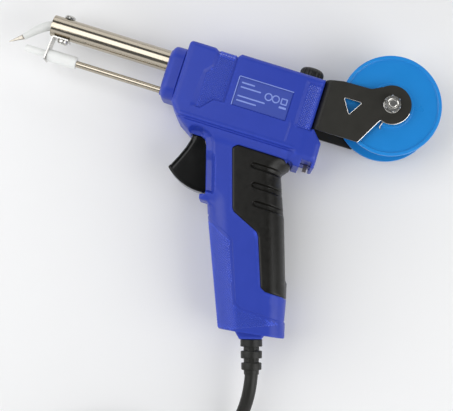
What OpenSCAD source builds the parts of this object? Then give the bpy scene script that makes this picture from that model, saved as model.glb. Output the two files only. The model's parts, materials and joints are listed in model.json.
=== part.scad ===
// Automatic-feed soldering gun, lying on its right side with its label side up.
// Gun coordinates: x runs back along the barrel, y up from the grip, z out of the label side.

/* [Housing] */
// Half-width of the upper body
body_half = 22; // [21.5:0.1:22.5]
// Half-width of the grip
grip_half = 16; // [15.5:0.1:16.5]
// Half-width of the heel behind the grip
heel_half = 21; // [20:0.1:21.4]
// Height of the upper body's top above the base line
body_top = 16.9; // [16.5:0.1:17.4]
// Depth of the rubber let into the grip
rubber_deep = 2; // [1.5:0.1:2.5]

/* [Barrel and tip] */
// Outer diameter of the barrel tube
barrel_d = 12.6; // [12:0.1:13]
// Wall thickness of the barrel tube
barrel_wall = 0.6; // [0.4:0.1:0.8]
// How far the barrel's mouth lies in front of the base point
barrel_front = 67.5; // [60:0.5:72]
// Diameter of the tip's shank
tip_shank_d = 5; // [4.5:0.1:5.5]

/* [Solder feed] */
// Outer diameter of the steel feed tube
feed_tube_d = 3.9; // [3.6:0.1:4.1]
// Diameter of the solder passage
solder_hole_d = 1.8; // [1.4:0.1:2]
// Radius of the driving feed roller
feed_roller_r = 6.5; // [6:0.1:6.8]
// Radius of the pressure roller
pressure_roller_r = 4; // [3.6:0.1:4.1]
// Teeth on the ratchet wheel
ratchet_teeth = 18; // [18]

/* [Reel] */
// Diameter of the reel's flanges
reel_d = 58; // [54:1:60]
// Width over the reel's flanges
reel_wide = 28; // [26:0.5:29]
// Thickness of one flange
flange_thick = 2; // [1.5:0.1:2.5]
// Diameter of the wound solder
winding_d = 40; // [24:1:48]
// Half-width over the bracket's arms
bracket_half = 17; // [17:0.1:17.6]
// Sheet thickness of the bracket
bracket_sheet = 1.8; // [1.4:0.1:2]
// Diameter of the axle bolt
axle_d = 5; // [4.6:0.1:5]

/* [Mains cord] */
// Diameter of the cord
cord_d = 7.6; // [7:0.1:7.6]
// Diameter of the coil measured between the middle turns
coil_mid_d = 84; // [80:1:88]

/* [Hidden] */
$fn = 48;
fine = 96;
hull_fn = 32;
clear = 0.08;

// Places on the gun
barrel_y = 4;
feed_y = -13.8;
trigger_at = [43.6, -34.7];
axle_at = [134.4, 15.1];
feed_at = [46, feed_y + 0.5 + feed_roller_r];
pressure_at = [46, feed_y - 0.5 - pressure_roller_r];
arm_pivot_at = [76, -25];
stud_x = 86;
exit_at = [98, -135];
exit_tilt = 17.5;
tip_x = -89.5;
relief_long = 21;

// Outlines of one housing half, seen from the label side
body_outline = [
    [14.2, body_top - 1.5], [16, body_top - 0.7], [94.6, body_top],
    [94.6, -33], [29, -33.2], [20.5, -28.4], [14.2, -21.2]
];
body_hollow = [
    [17, 12.2], [91.8, 12.9], [91.8, -28], [29, -28], [21.8, -24.2], [17, -18]
];
heel_outline = [
    [88, -8], [94.6, -11.9], [96.3, -11.9], [102.4, -18.6], [102.8, -33], [94.5, -34.8],
    [91, -34.8], [88, -33]
];
heel_hollow = [
    [86, -12], [94, -14], [98.6, -19.2], [101.2, -21.4], [101.2, -40], [94.5, -40],
    [94.5, -29.4], [86, -29.4]
];
grip_outline = [
    [37.6, -24], [47.5, -62], [50, -68.5], [78, -135.5], [116, -129.8], [113, -120],
    [110, -107.5], [106, -98], [95, -64], [90, -50], [88, -42], [88, -24]
];
grip_hollow = [
    [47, -26], [51.5, -60], [57, -75], [80.5, -130], [110, -125.5], [106.5, -115],
    [101, -97], [90, -64], [85, -50], [83, -44], [83, -26]
];
rubber_outline = [
    [54.8, -32.6], [88, -32.6], [92, -34], [92, -44], [120, -108], [96, -108], [94, -106.5],
    [84, -78], [82, -76.5], [66, -68.5], [65, -67.5]
];

// Housing screws: x, y and the depth of the head's seat from the middle plane
screws = [
    [24, -22.6, 12], [34, 9.2, 12], [72, 9.2, 12], [97.3, -20.4, 9],
    [60.5, -77, 8], [104.5, -112.5, 8], [84, -123.5, 8]
];
boss_r = 3.1;
shank_r = 1.5;

// Trigger, its arm and the feed lever that the arm swings
trigger_r = 29.6;
trigger_half = 7.1;
trigger_from = 226;
trigger_to = 284;
arm_long = 17;
arm_angle = 76.1;
drive_at = trigger_at + arm_long * [cos(arm_angle), sin(arm_angle)];
drive_r = 1.6;
lever_to_drive = drive_at - feed_at;
lever_angle = atan2(lever_to_drive[1], lever_to_drive[0]);
pawl_at = feed_at + 10.8 * [cos(115), sin(115)];

// Bracket outline: from the bend, along the top, round the axle and back
bracket_round = 11.2;
bracket_outline = concat(
    [[95, 17.4], [99, 18.8], [104.3, 19.8], [120.9, 20.3], [126.4, 23.3]],
    [for (a = [134:-12:-94]) axle_at + bracket_round * [cos(a), sin(a)]],
    [[130.6, 4.9], [121.9, -11.2], [95, -11.4]]
);
bracket_window = [[107.2, 11], [117.9, 11], [112.6, 2.2]];

// Cord: laid from the clamp in the grip to the coil, heights above the middle plane
floor_z = -body_half;
cord_low = floor_z + cord_d / 2;
cord_to_coil = [
    [90.2, -110.2, 0], [98, -135, 0], [101, -144.5, 0], [104, -154, 0], [105.6, -162, -0.6],
    [106.4, -171, -3], [106, -180, -7], [105, -190, -11.4], [104, -201, -15.2],
    [103.2, -213, -17.5], [102.6, -226, -18.2], [101, -238, -18.2]
];
coil_at = [50, -258];
coil_mid_r = coil_mid_d / 2;
coil_half = 1.5 * cord_d;
coil_high = 2 * cord_d;
tie_thick = 0.6;
cord_to_plug = [
    [34.4, -301, -11], [28, -299.4, -12.2], [20, -298.4, -13.9], [12, -298, -15.2], [4, -298, -15.5]
];
plug_at = [4, -298, -15.5];
plug_long = 36;
pin_gap = 0.3;
plug_wide = 26;
plug_thick = 13;
pin_d = 4;
pin_long = 19;
pin_apart = 19;

// The origin stands under the middle of the gun's own box, without cord, coil and plug
reel_right = axle_at[0] + reel_d / 2;
reel_top = axle_at[1] + reel_d / 2;
relief_low = exit_at[1] - relief_long * cos(exit_tilt) - 4.4 * sin(exit_tilt);
origin_x = (tip_x + reel_right) / 2;
origin_y = (relief_low + reel_top) / 2;

// ---- helpers ----

// Moves a shape from gun coordinates to the part's own frame
module placed() {
    translate([-origin_x, -origin_y, body_half]) children();
}

// A round bar, its axis along the barrel
module bar_x(r, x0, x1, y = 0, z = 0) {
    translate([x0, y, z]) rotate([0, 90, 0]) cylinder(r = r, h = x1 - x0);
}

// A round bar, its axis across the gun
module bar_z(r, at, z0, z1) {
    translate([at[0], at[1], z0]) cylinder(r = r, h = z1 - z0);
}

// A plate cut to an outline, between two heights
module plate(points, z0, z1) {
    translate([0, 0, z0]) linear_extrude(z1 - z0) polygon(points);
}

// A block given by its lowest and highest corners
module block(low, high) {
    translate(low) cube(high - low);
}

// One side of a body: the full outline up to the edge, drawn in at the side face
module side_solid(points, half, edge, inset) {
    hull() {
        linear_extrude(half - edge) polygon(points);
        linear_extrude(half) offset(delta = -inset) polygon(points);
    }
}

// Puts its children on the cord's exit axis, +Z outwards
module along_exit() {
    translate([exit_at[0], exit_at[1], 0]) rotate([90, 0, exit_tilt]) children();
}

function unit(v) = v / norm(v);
function heading(points, i) = unit(points[min(i + 1, len(points) - 1)] - points[max(i - 1, 0)]);
function side_of(t) = unit(cross(t, abs(t[2]) < 0.9 ? [0, 0, 1] : [1, 0, 0]));
function ring(p, t, r, sides) = let(u = side_of(t), v = cross(u, t))
    [for (k = [0:sides - 1]) p + r * (cos(360 * k / sides) * u + sin(360 * k / sides) * v)];

// A tube swept along a list of points
module swept(points, r, sides = 8) {
    n = len(points);
    rings = [for (i = [0:n - 1]) each ring(points[i], heading(points, i), r, sides)];
    walls = [for (i = [0:n - 2], k = [0:sides - 1]) let(a = i * sides, b = a + sides, j = (k + 1) % sides)
        [a + k, a + j, b + j, b + k]];
    start = [for (k = [sides - 1:-1:0]) k];
    finish = [for (k = [0:sides - 1]) (n - 1) * sides + k];
    polyhedron(rings, concat([start, finish], walls), convexity = 8);
}

// ---- housing ----

module grip_core() {
    side_solid([for (p = grip_outline) p + rubber_deep * (p[0] > 80 ? [-1, 0] : [0.4, 0])],
        grip_half - rubber_deep, 6, 4.5);
}

module rubber_half() {
    difference() {
        intersection() {
            side_solid(grip_outline, grip_half, 7, 4.5);
            plate(rubber_outline, 0, grip_half);
        }
        grip_core();
        plate(body_outline, -1, body_half);
        plate(heel_outline, -1, body_half);
    }
}

module housing_shape() {
    side_solid(body_outline, body_half, 6, 4);
    side_solid(heel_outline, heel_half, 5, 3.5);
    difference() {
        side_solid(grip_outline, grip_half, 7, 4.5);
        rubber_half();
    }
    plate([[44.5, -65], [52, -58], [54, -72], [50, -68.6], [45, -68]], 0, 12);
    plate([[87.5, -132], [91.5, -137.8], [103.6, -134], [105.5, -130]], 0, 9);
}

module trigger_slot() {
    intersection() {
        bar_z(30.3, trigger_at, -1, 7.7);
        plate([[36.4, -20], [80, -20], [80, -70], [10, -70], [10, -33.1], [36.4, -33.1]], -1, 8);
    }
    block([37.6, -41, -1], [52, -24, 11.5]);
}

module housing_hollow() {
    plate(body_hollow, -1, 18.6);
    plate(heel_hollow, -1, 6);
    plate(grip_hollow, -1, 11.2);
    trigger_slot();
    plate([[94.5, -30.4], [100.8, -30.4], [100.8, -40], [94.5, -40]], -1, body_half);
    block([13, -16.2, -1], [18, 9.9, 11.2]);
}

// Walls and bosses that carry the inner parts; inner is how close to the middle they come
module housing_supports(feed_inner) {
    for (s = screws) bar_z(boss_r, s, 0, s[1] < -70 ? 12 : (s[0] > 95 ? 7 : 19));
    bar_z(3.6, feed_at, feed_inner, 19);
    bar_z(3.4, arm_pivot_at, 5.2, 19);
    block([84, -17.4, 0], [86.5, -10.5, 19]);
    block([54.2, -16.4, 0], [56.2, -10.8, 19]);
    block([58.5, -38.6, 0], [65.5, -36.2, 11.6]);
    block([80.5, 8, 0], [91.5, 14, 7]);
    along_exit() block([-9, 0, -15.5], [9, 12, -12.5]);
}

module housing_bores() {
    bar_z(2, trigger_at, 0, 14.2);
    bar_z(2, feed_at, 0, 17);
    bar_z(shank_r, arm_pivot_at, 0, 12);
    bar_x(1.5, 50, 92.9, feed_y);
    bar_x(2, 92.9, 106, feed_y);
    translate([stud_x, 5, 0]) rotate([-90, 0, 0]) cylinder(r = 3.5, h = 20);
    along_exit() translate([0, 0, -7]) cylinder(r = 4.7, h = 14);
    along_exit() translate([0, 0, -9.5]) cylinder(r = 6.7, h = 2.5);
    along_exit() translate([0, 0, -30]) cylinder(r = cord_d / 2 + clear, h = 30);
    plate([[47.2, -13.1], [79.5, -13.1], [79.5, 4.3], [47.2, 4.3]], body_half - 0.8, body_half + 1);
}

module housing_half(feed_inner, screw_hole_r) {
    difference() {
        union() {
            difference() {
                housing_shape();
                housing_hollow();
            }
            housing_supports(feed_inner);
        }
        housing_bores();
        for (s = screws) bar_z(screw_hole_r, s, -1, 10);
    }
}

module left_housing() {
    color("royalblue") placed() housing_half(9, 1.3);
}

module right_housing() {
    color("royalblue") placed() mirror([0, 0, 1]) difference() {
        union() {
            housing_half(3.4, 1.7);
            for (s = screws) bar_z(4.4, s, s[2] - 2.4, s[1] < -70 ? 12 : 18.8);
        }
        for (s = screws) bar_z(1.7, s, -1, 20);
        for (s = screws) bar_z(3.3, s, s[2], body_half + 1);
    }
}

module left_grip_rubber() {
    color("dimgray") placed() rubber_half();
}

module right_grip_rubber() {
    color("dimgray") placed() mirror([0, 0, 1]) rubber_half();
}

module nose_cap() {
    color("royalblue") placed() difference() {
        union() {
            hull() {
                for (y = [-16.2, 9.5], z = [-12.5, 12.5]) {
                    bar_x(3, 6, 13.6, y, z, $fn = hull_fn);
                    bar_x(2, 4.5, 6, y, z, $fn = hull_fn);
                }
            }
            block([13.6, -16.1, -11.1], [20, 9.8, 11.1]);
        }
        bar_x(barrel_d / 2, 0, 24, barrel_y, $fn = fine);
        bar_x(feed_tube_d / 2, 0, 24, feed_y);
    }
}

module label_plate() {
    color("gainsboro") placed()
        plate([[47.7, -12.6], [79, -12.6], [79, 3.8], [47.7, 3.8]], body_half - 0.8, body_half - 0.3);
}

module housing_screws() {
    color("silver") placed() for (s = screws) {
        bar_z(shank_r, s, -s[2], 9);
        bar_z(3, s, -s[2] - 2, -s[2]);
    }
}

// ---- barrel, heater and tip ----

module barrel_tube() {
    color("silver") placed() difference() {
        bar_x(barrel_d / 2, -barrel_front, 26, barrel_y, $fn = fine);
        bar_x(barrel_d / 2 - barrel_wall, -barrel_front - 1, 27, barrel_y, $fn = fine);
        translate([-59.2, barrel_y, 0]) rotate([90, 0, 0]) cylinder(r = 1.6, h = 20, center = true);
    }
}

module barrel_flange() {
    color("silver") placed() difference() {
        bar_x(8, 20, 21.5, barrel_y);
        bar_x(barrel_d / 2, 19, 23, barrel_y, $fn = fine);
    }
}

module tip_holder() {
    color("silver") placed() difference() {
        bar_x(barrel_d / 2 - barrel_wall, -64.5, -52, barrel_y, $fn = fine);
        bar_x(tip_shank_d / 2 + clear, -barrel_front - 1, -50, barrel_y);
        translate([-59.2, barrel_y, 0]) rotate([90, 0, 0]) cylinder(r = 1.5, h = 20, center = true);
    }
}

module heater_core() {
    color("ivory") placed() difference() {
        bar_x(4.6, -44, 22, barrel_y);
        bar_x(tip_shank_d / 2 + clear, -45, -20, barrel_y);
    }
}

module heater_leads() {
    color("ivory") placed() for (s = [-1, 1])
        swept([
            [22, 4, s * 2.4], [28, 4.2, s * 1.8], [40, 4.7, s * 1.4], [54, 4, s * 1.6],
            [60, 1, s * 3.5], [64, -4, s * 6.2], [66, -12, s * 6.2], [68, -24, s * 6.2],
            [71, -40, s * 4.8], [73.6, -54, s * 2.4], [74.5, -58, s * 2.4]
        ], 0.9);
}

// Points along the bent tip with the radius there: x, y, radius
bent_tip = [
    [-barrel_front, barrel_y - 0.6, 2.6], [-71, 2.3, 2.5], [-74.8, -0.6, 2.25],
    [-78.2, -3.8, 1.95], [-81.9, -7.7, 1.55], [-89.3, -12.9, 0.2]
];

module soldering_tip() {
    color("white") placed() {
        bar_x(tip_shank_d / 2, -barrel_front - 1, -21, barrel_y);
        for (i = [0:len(bent_tip) - 2]) hull() for (p = [bent_tip[i], bent_tip[i + 1]])
            translate([p[0], p[1], 0]) sphere(p[2], $fn = hull_fn);
    }
}

module barrel_screws() {
    color("silver") placed() for (s = [1, -1]) translate([-59.2, barrel_y, 0]) rotate([-90 * s, 0, 0]) {
        translate([0, 0, 3.4]) cylinder(r = 1.5, h = 4);
        difference() {
            translate([0, 0, s > 0 ? 6.3 : 7.3]) cylinder(r = 3.1, h = 2.2);
            translate([-0.4, -2, s > 0 ? 7.6 : 8.6]) cube([0.8, 4, 2]);
        }
    }
}

module nozzle_bracket() {
    color("silver") placed() difference() {
        union() {
            block([-66.3, -3.3, -4.6], [-55.5, -2.3, 4.6]);
            block([-66.3, -17.8, -4.6], [-65.3, -2.3, 4.6]);
        }
        translate([-59.2, barrel_y, 0]) rotate([90, 0, 0]) cylinder(r = 1.6, h = 20);
        bar_x(2.1, -70, -60, feed_y + 0.4);
    }
}

module nozzle_sleeve() {
    color("white") placed() difference() {
        bar_x(3.6, -65.3, -47.5, feed_y + 0.3);
        bar_x(2.1, -66, -56, feed_y + 0.4);
        bar_x(feed_tube_d / 2, -56.1, -47, feed_y);
    }
}

module nozzle_liner() {
    color("white") placed() difference() {
        bar_x(2.1, -79, -56.1, feed_y + 0.4);
        bar_x(solder_hole_d / 2, -80, -50, feed_y + 0.4);
    }
}

module feed_tube() {
    color("silver") placed() difference() {
        bar_x(feed_tube_d / 2, -56, 39.5, feed_y);
        bar_x(solder_hole_d / 2, -57, 41, feed_y);
    }
}

// ---- trigger and feed ----

module trigger() {
    color("black") placed() difference() {
        union() {
            plate(concat(
                [
                    [43.6, -31], [37, -33.8], [30.3, -33.8], [29.9, -37], [28.9, -41],
                    [27, -46.5], [24.6, -51.5]
                ],
                [for (a = [trigger_from:4:trigger_to]) trigger_at + trigger_r * [cos(a), sin(a)]],
                [[47.6, -38]]), -trigger_half, trigger_half);
            bar_z(4.8, trigger_at, -11.1, 8.8);
        }
        bar_z(2 + clear, trigger_at, -12, 12);
    }
}

// Steel arm beside the hub, with the pin that drives the feed lever
module trigger_arm() {
    color("silver") placed() difference() {
        union() {
            bar_z(4.6, trigger_at, 8.8, 11.1);
            plate([
                trigger_at + [-2.6, 0], drive_at + [-2.4, 0],
                drive_at + [2.4, 0], trigger_at + [2.6, 0]
            ], 8.8, 11.1);
            bar_z(2.6, drive_at, 8.8, 11.1);
            bar_z(drive_r, drive_at, 5.9, 9);
        }
        bar_z(2 + clear, trigger_at, 8, 12);
    }
}

module trigger_pin() {
    color("silver") placed() bar_z(2, trigger_at, -14.2, 14.2);
}

// The turns of the return spring round the hub's end
module trigger_spring() {
    at = trigger_at;
    turns = [for (a = [0:24:1080]) [at[0] + 5.8 * cos(a), at[1] + 5.8 * sin(a), -11 + a * 3.2 / 1080]];
    color("silver") placed() swept(turns, 0.4, 6);
}

module feed_lever() {
    color("silver") placed() difference() {
        union() {
            bar_z(4.4, feed_at, 6, 8.5);
            translate([feed_at[0], feed_at[1], 6]) rotate([0, 0, lever_angle])
                linear_extrude(2.5)
                    polygon([[0, -3.9], [14.6, -3.4], [16, -2], [16, 2], [14.6, 3.4], [0, 3.9]]);
            plate([feed_at + [-3, -2], pawl_at + [-2.6, 0], pawl_at + [-1.6, 2.2], pawl_at + [1.6, 2.2],
                pawl_at + [2.6, 0], feed_at + [3, 3]], 6, 8.5);
        }
        bar_z(2 + clear, feed_at, 5, 9);
        bar_z(1.2, pawl_at, 5, 9);
        translate([feed_at[0], feed_at[1], 5]) rotate([0, 0, lever_angle]) {
            translate([10.6, -1.9, 0]) cube([2.2, 3.8, 4]);
            translate([10.6, 0, 0]) cylinder(r = 1.9, h = 4);
            translate([12.8, 0, 0]) cylinder(r = 1.9, h = 4);
        }
    }
}

function polar(c, r, a) = c + r * [cos(a), sin(a)];

module feed_pawl() {
    color("silver") placed() {
        plate([
            polar(feed_at, 6.8, 76.5), polar(feed_at, 8.8, 76), polar(feed_at, 11.5, 100),
            polar(feed_at, 13, 115), polar(feed_at, 11.5, 124), polar(feed_at, 9, 122),
            polar(feed_at, 7.7, 95)
        ], 3.2, 5.3);
        bar_z(1.2, pawl_at, 5, 8.4);
    }
}

module ratchet_wheel() {
    step = 360 / ratchet_teeth;
    color("silver") placed() difference() {
        plate([for (i = [0:ratchet_teeth - 1]) each [
            polar(feed_at, 7.5, 75 + i * step), polar(feed_at, 6.5, 75 + i * step + 0.3)]], 3, 5.5);
        bar_z(2 + clear, feed_at, 2, 6);
    }
}

module feed_roller() {
    color("silver") placed() translate([feed_at[0], feed_at[1], 0]) rotate_extrude($fn = fine)
        polygon([[2 + clear, -3], [feed_roller_r, -3], [feed_roller_r, -0.7], [feed_roller_r - 0.5, 0],
            [feed_roller_r, 0.7], [feed_roller_r, 3], [2 + clear, 3]]);
}

module feed_axle() {
    color("silver") placed() bar_z(2, feed_at, -17, 17);
}

module pressure_arm() {
    color("silver") placed() difference() {
        union() {
            for (z = [-4.5, 3]) {
                bar_z(2.9, pressure_at, z, z + 1.5);
                plate([
                    [46, -20.8], [46, -16], [60, -18.4], [80, -22], [80, -28], [66, -26.4]
                ], z, z + 1.5);
            }
            plate([[62, -19.2], [80, -22.2], [80, -27.8], [66, -26]], -3.1, 3.1);
            plate([
                [78, -22.6], [90, -24.2], [94, -25.4], [99.5, -27], [99.4, -34.7], [97.2, -34.7],
                [97.1, -29.7], [94, -28.6], [86, -27.7], [78, -27.6]
            ], -1.5, 1.5);
        }
        bar_z(shank_r + clear, arm_pivot_at, -6, 6);
        bar_z(1.2, pressure_at, -6, 6);
    }
}

module pressure_roller() {
    color("goldenrod") placed() difference() {
        bar_z(pressure_roller_r, pressure_at, -2.6, 2.6);
        bar_z(1.2 + clear, pressure_at, -3, 3);
    }
}

module roller_pin() {
    color("silver") placed() bar_z(1.2, pressure_at, -4.5, 4.5);
}

module arm_pin() {
    color("silver") placed() bar_z(shank_r, arm_pivot_at, -12, 12);
}

module pressure_spring() {
    turns = [for (a = [0:30:1440]) [63.2 + 2.2 * cos(a), -35.8 + a * 9.2 / 1440, 2.2 * sin(a)]];
    color("silver") placed() swept(turns, 0.35, 6);
}

module guide_tube() {
    color("silver") placed() difference() {
        bar_x(1.5, 53, 92.9, feed_y);
        bar_x(solder_hole_d / 2, 52, 94, feed_y);
    }
}

module inlet_bush() {
    hole_r = solder_hole_d / 2;
    color("silver") placed() translate([92.9, feed_y, 0]) rotate([0, 90, 0]) rotate_extrude($fn = fine)
        polygon([[hole_r, 0], [2, 0], [2, 5.6], [1.7, 5.9], [1.5, 5.9], [hole_r, 4.8]]);
}

// ---- wiring ----

module terminal_block() {
    color("ivory") placed() difference() {
        block([69, -72, -7], [80, -58, 7]);
        for (z = [-3.2, 3.2]) {
            translate([74.5, -80, z]) rotate([-90, 0, 0]) cylinder(r = 1.3, h = 30);
            bar_x(1.5, 74.5, 84, -65, z);
        }
    }
}

module cord_clamp() {
    color("ivory") placed() difference() {
        translate([91.4, -113.6, 0]) rotate([0, 0, exit_tilt]) block([-8, -2.6, -6.5], [8, 2.6, 6.5]);
        along_exit() translate([0, 0, -40]) cylinder(r = cord_d / 2 + clear, h = 40);
        translate([91.4, -113.6, 0]) rotate([0, 0, exit_tilt]) for (x = [-6, 6]) bar_z(1.1, [x, 0], -8, 8);
    }
}

module clamp_screws() {
    color("silver") placed() translate([91.4, -113.6, 0]) rotate([0, 0, exit_tilt]) for (x = [-6, 6]) {
        bar_z(1.1, [x, 0], -5, 6.5);
        bar_z(1.9, [x, 0], 6.5, 8);
    }
}

// ---- reel ----

module reel_bracket() {
    inner = bracket_half - bracket_sheet;
    color("dimgray") placed() difference() {
        union() {
            for (z = [-bracket_half, inner]) plate(bracket_outline, z, z + bracket_sheet);
            block([94.6, -11.5, -bracket_half], [94.6 + bracket_sheet, 17.4, bracket_half]);
            block([79.5, body_top, -8], [94.6 + bracket_sheet, body_top + 1.5, 8]);
        }
        plate(bracket_window, -bracket_half - 1, bracket_half + 1);
        bar_z(axle_d / 2 + 0.05, axle_at, -bracket_half - 1, bracket_half + 1);
        translate([stud_x, 10, 0]) rotate([-90, 0, 0]) cylinder(r = 2.8, h = 20);
    }
}

module bracket_knob() {
    color("black") placed() translate([stud_x, body_top + 1.6, 0]) rotate([-90, 0, 0]) difference() {
        rotate_extrude($fn = fine)
            polygon([[2.5, 0], [6.8, 0], [7, 0.6], [7, 4.2], [6, 5.8], [4, 6.5], [2.5, 6.5]]);
        for (a = [0:20:340]) rotate([0, 0, a]) translate([7.3, 0, -1]) cylinder(r = 0.7, h = 9);
    }
}

module knob_stud() {
    color("silver") placed() translate([stud_x, 8.2, 0]) rotate([-90, 0, 0])
        cylinder(r = 2.5, h = body_top - 0.6);
}

module stud_insert() {
    color("gold") placed() translate([stud_x, 8.1, 0]) rotate([-90, 0, 0]) difference() {
        cylinder(r = 3.5, h = body_top - 8.4);
        translate([0, 0, -1]) cylinder(r = 2.5 + clear, h = 20);
    }
}

module axle_bolt() {
    color("silver") placed() {
        bar_z(axle_d / 2, axle_at, -bracket_half - 1, bracket_half + 4.6);
        bar_z(4.6, axle_at, -bracket_half - 4.2, -bracket_half - 1, $fn = 6);
    }
}

module axle_nut() {
    color("silver") placed() difference() {
        bar_z(4.6, axle_at, bracket_half + 1, bracket_half + 4.4, $fn = 6);
        bar_z(axle_d / 2, axle_at, bracket_half, bracket_half + 6);
    }
}

module axle_washers() {
    gap = (2 * (bracket_half - bracket_sheet) - reel_wide) / 2;
    places = [-bracket_half - 1, -reel_wide / 2 - gap, reel_wide / 2 + 0.15, bracket_half];
    color("silver") placed() for (z = places)
        difference() {
            bar_z(5, axle_at, z, z + (abs(z) >= bracket_half ? 1 : gap - 0.15));
            bar_z(axle_d / 2, axle_at, z - 1, z + 2);
        }
}

module solder_reel() {
    half = reel_wide / 2;
    hub_r = 8;
    rim = reel_d / 2;
    bore = axle_d / 2 + clear;
    color("deepskyblue") placed() translate([axle_at[0], axle_at[1], 0]) rotate_extrude($fn = fine)
        polygon([
            [bore, -half], [hub_r + 5, -half], [hub_r + 5, 0.8 - half], [rim - 2.2, 0.8 - half],
            [rim - 2.2, -half], [rim, -half], [rim, flange_thick - half],
            [hub_r, flange_thick - half], [hub_r, half - flange_thick],
            [rim, half - flange_thick], [rim, half], [rim - 2.2, half], [rim - 2.2, half - 0.8],
            [hub_r + 5, half - 0.8], [hub_r + 5, half], [bore, half]
        ]);
}

module solder_winding() {
    half = reel_wide / 2 - flange_thick;
    color("silver") placed() difference() {
        bar_z(winding_d / 2, axle_at, -half, half, $fn = fine);
        bar_z(8, axle_at, -half - 1, half + 1, $fn = fine);
    }
}

// ---- cord ----

module strain_relief() {
    color("black") placed() along_exit() rotate_extrude($fn = fine) polygon([
        [cord_d / 2 + clear, -9], [6.6, -9], [6.6, -7], [4.6, -7], [4.6, 0.8], [6.3, 1], [6.3, 5],
        [4.6, 5.4], [4.6, 7.2], [6.1, 7.4], [6.1, 11.7], [4.5, 12.1], [4.5, 13.9], [5.8, 14.1],
        [5.8, 18.2], [4.4, 18.6], [4.4, relief_long], [cord_d / 2 + clear, relief_long]
    ]);
}

module power_cord() {
    color("black") placed() {
        swept(cord_to_coil, cord_d / 2);
        swept(cord_to_plug, cord_d / 2);
    }
}

module cord_coil() {
    color("black") placed() difference() {
        translate([coil_at[0], coil_at[1], floor_z + tie_thick]) rotate_extrude($fn = fine)
            translate([coil_mid_r - coil_half, 0]) square([2 * coil_half, coil_high]);
        tie_block();
    }
}

module tie_block() {
    translate([coil_at[0] - coil_mid_r, coil_at[1], floor_z])
        block([-coil_half - tie_thick, -4, 0], [coil_half + tie_thick, 4, coil_high + 2 * tie_thick]);
}

module coil_tie() {
    color("black") placed() difference() {
        tie_block();
        translate([coil_at[0] - coil_mid_r, coil_at[1], floor_z])
            block([-coil_half, -5, tie_thick], [coil_half, 5, coil_high + tie_thick]);
    }
}

module plug_body() {
    color("black") placed() translate(plug_at) difference() {
        hull() {
            block([-plug_long, 3 - plug_wide / 2, -plug_thick / 2],
                [-8, plug_wide / 2 - 3, plug_thick / 2]);
            block([-plug_long, -plug_wide / 2, 2.5 - plug_thick / 2],
                [-10, plug_wide / 2, plug_thick / 2 - 2.5]);
            block([-1, -6, -5.5], [0, 6, 5.5]);
        }
        for (s = [-1, 1]) bar_x(pin_d / 2 - 0.3, -plug_long - 1, -plug_long + 8, s * pin_apart / 2);
    }
}

// Two pins, each with a narrower root held in the plug
module plug_pins() {
    face = -plug_long - pin_gap;
    color("silver") placed() translate(plug_at) for (s = [-1, 1]) {
        bar_x(pin_d / 2, face - pin_long, face, s * pin_apart / 2);
        bar_x(pin_d / 2 - 0.3, face - 0.1, -plug_long + 8, s * pin_apart / 2);
    }
}

left_housing();
right_housing();
nose_cap();
left_grip_rubber();
right_grip_rubber();
label_plate();
housing_screws();
barrel_tube();
barrel_flange();
heater_core();
heater_leads();
tip_holder();
soldering_tip();
barrel_screws();
nozzle_bracket();
nozzle_sleeve();
nozzle_liner();
feed_tube();
trigger();
trigger_arm();
trigger_pin();
trigger_spring();
feed_lever();
feed_pawl();
ratchet_wheel();
feed_roller();
feed_axle();
pressure_arm();
pressure_roller();
roller_pin();
arm_pin();
pressure_spring();
guide_tube();
inlet_bush();
terminal_block();
cord_clamp();
clamp_screws();
reel_bracket();
bracket_knob();
knob_stud();
stud_insert();
axle_bolt();
axle_nut();
axle_washers();
solder_reel();
solder_winding();
strain_relief();
power_cord();
cord_coil();
coil_tie();
plug_body();
plug_pins();
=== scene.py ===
import json
import math

import bmesh
import bpy
import numpy as np
from mathutils import Matrix, Vector
from mathutils.geometry import delaunay_2d_cdt


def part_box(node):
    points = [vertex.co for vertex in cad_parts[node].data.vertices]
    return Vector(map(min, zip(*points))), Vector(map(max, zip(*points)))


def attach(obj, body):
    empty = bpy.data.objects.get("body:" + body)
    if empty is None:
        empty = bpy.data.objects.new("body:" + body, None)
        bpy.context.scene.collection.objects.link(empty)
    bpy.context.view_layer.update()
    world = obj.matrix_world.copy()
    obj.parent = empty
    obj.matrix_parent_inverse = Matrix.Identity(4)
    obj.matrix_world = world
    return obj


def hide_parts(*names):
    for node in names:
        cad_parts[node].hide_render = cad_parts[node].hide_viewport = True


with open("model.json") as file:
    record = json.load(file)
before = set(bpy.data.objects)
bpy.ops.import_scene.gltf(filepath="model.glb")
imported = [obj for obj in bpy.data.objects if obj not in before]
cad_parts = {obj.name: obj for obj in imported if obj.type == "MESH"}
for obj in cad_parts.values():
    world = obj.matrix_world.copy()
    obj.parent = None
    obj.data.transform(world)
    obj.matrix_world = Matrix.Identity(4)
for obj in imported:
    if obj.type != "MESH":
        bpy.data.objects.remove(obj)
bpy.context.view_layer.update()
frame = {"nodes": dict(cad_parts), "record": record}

# Gun coordinates, in millimetres: x back along the barrel, y up, z out of the label side
low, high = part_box("barrel_tube")
BASE = Vector((low.x + 0.0675, (low.y + high.y) / 2 - 0.004, (low.z + high.z) / 2))
FLOOR = -22.0


def gun(x, y, z=0.0):
    return BASE + Vector((x, y, z)) / 1000


def add(name, data):
    o = bpy.data.objects.new(name, data)
    bpy.context.collection.objects.link(o)
    return o


# ---------------------------------------------------------------- camera and lights


def make_camera():
    cam = add("camera", bpy.data.cameras.new("camera"))
    place, target = gun(80, -115, 640), gun(61.5, -66.7, 0)
    back = (place - target).normalized()
    right = Vector((0.9537, 0.3007, 0.0))
    right = (right - back * right.dot(back)).normalized()
    up = back.cross(right)
    m = Matrix((right, up, back)).transposed().to_4x4()
    m.translation = place
    cam.matrix_world = m
    cam.data.lens = 88
    cam.data.sensor_width = 36
    cam.data.clip_start, cam.data.clip_end = 0.01, 20
    cam.data.dof.use_dof = False
    bpy.context.scene.camera = cam


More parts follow.
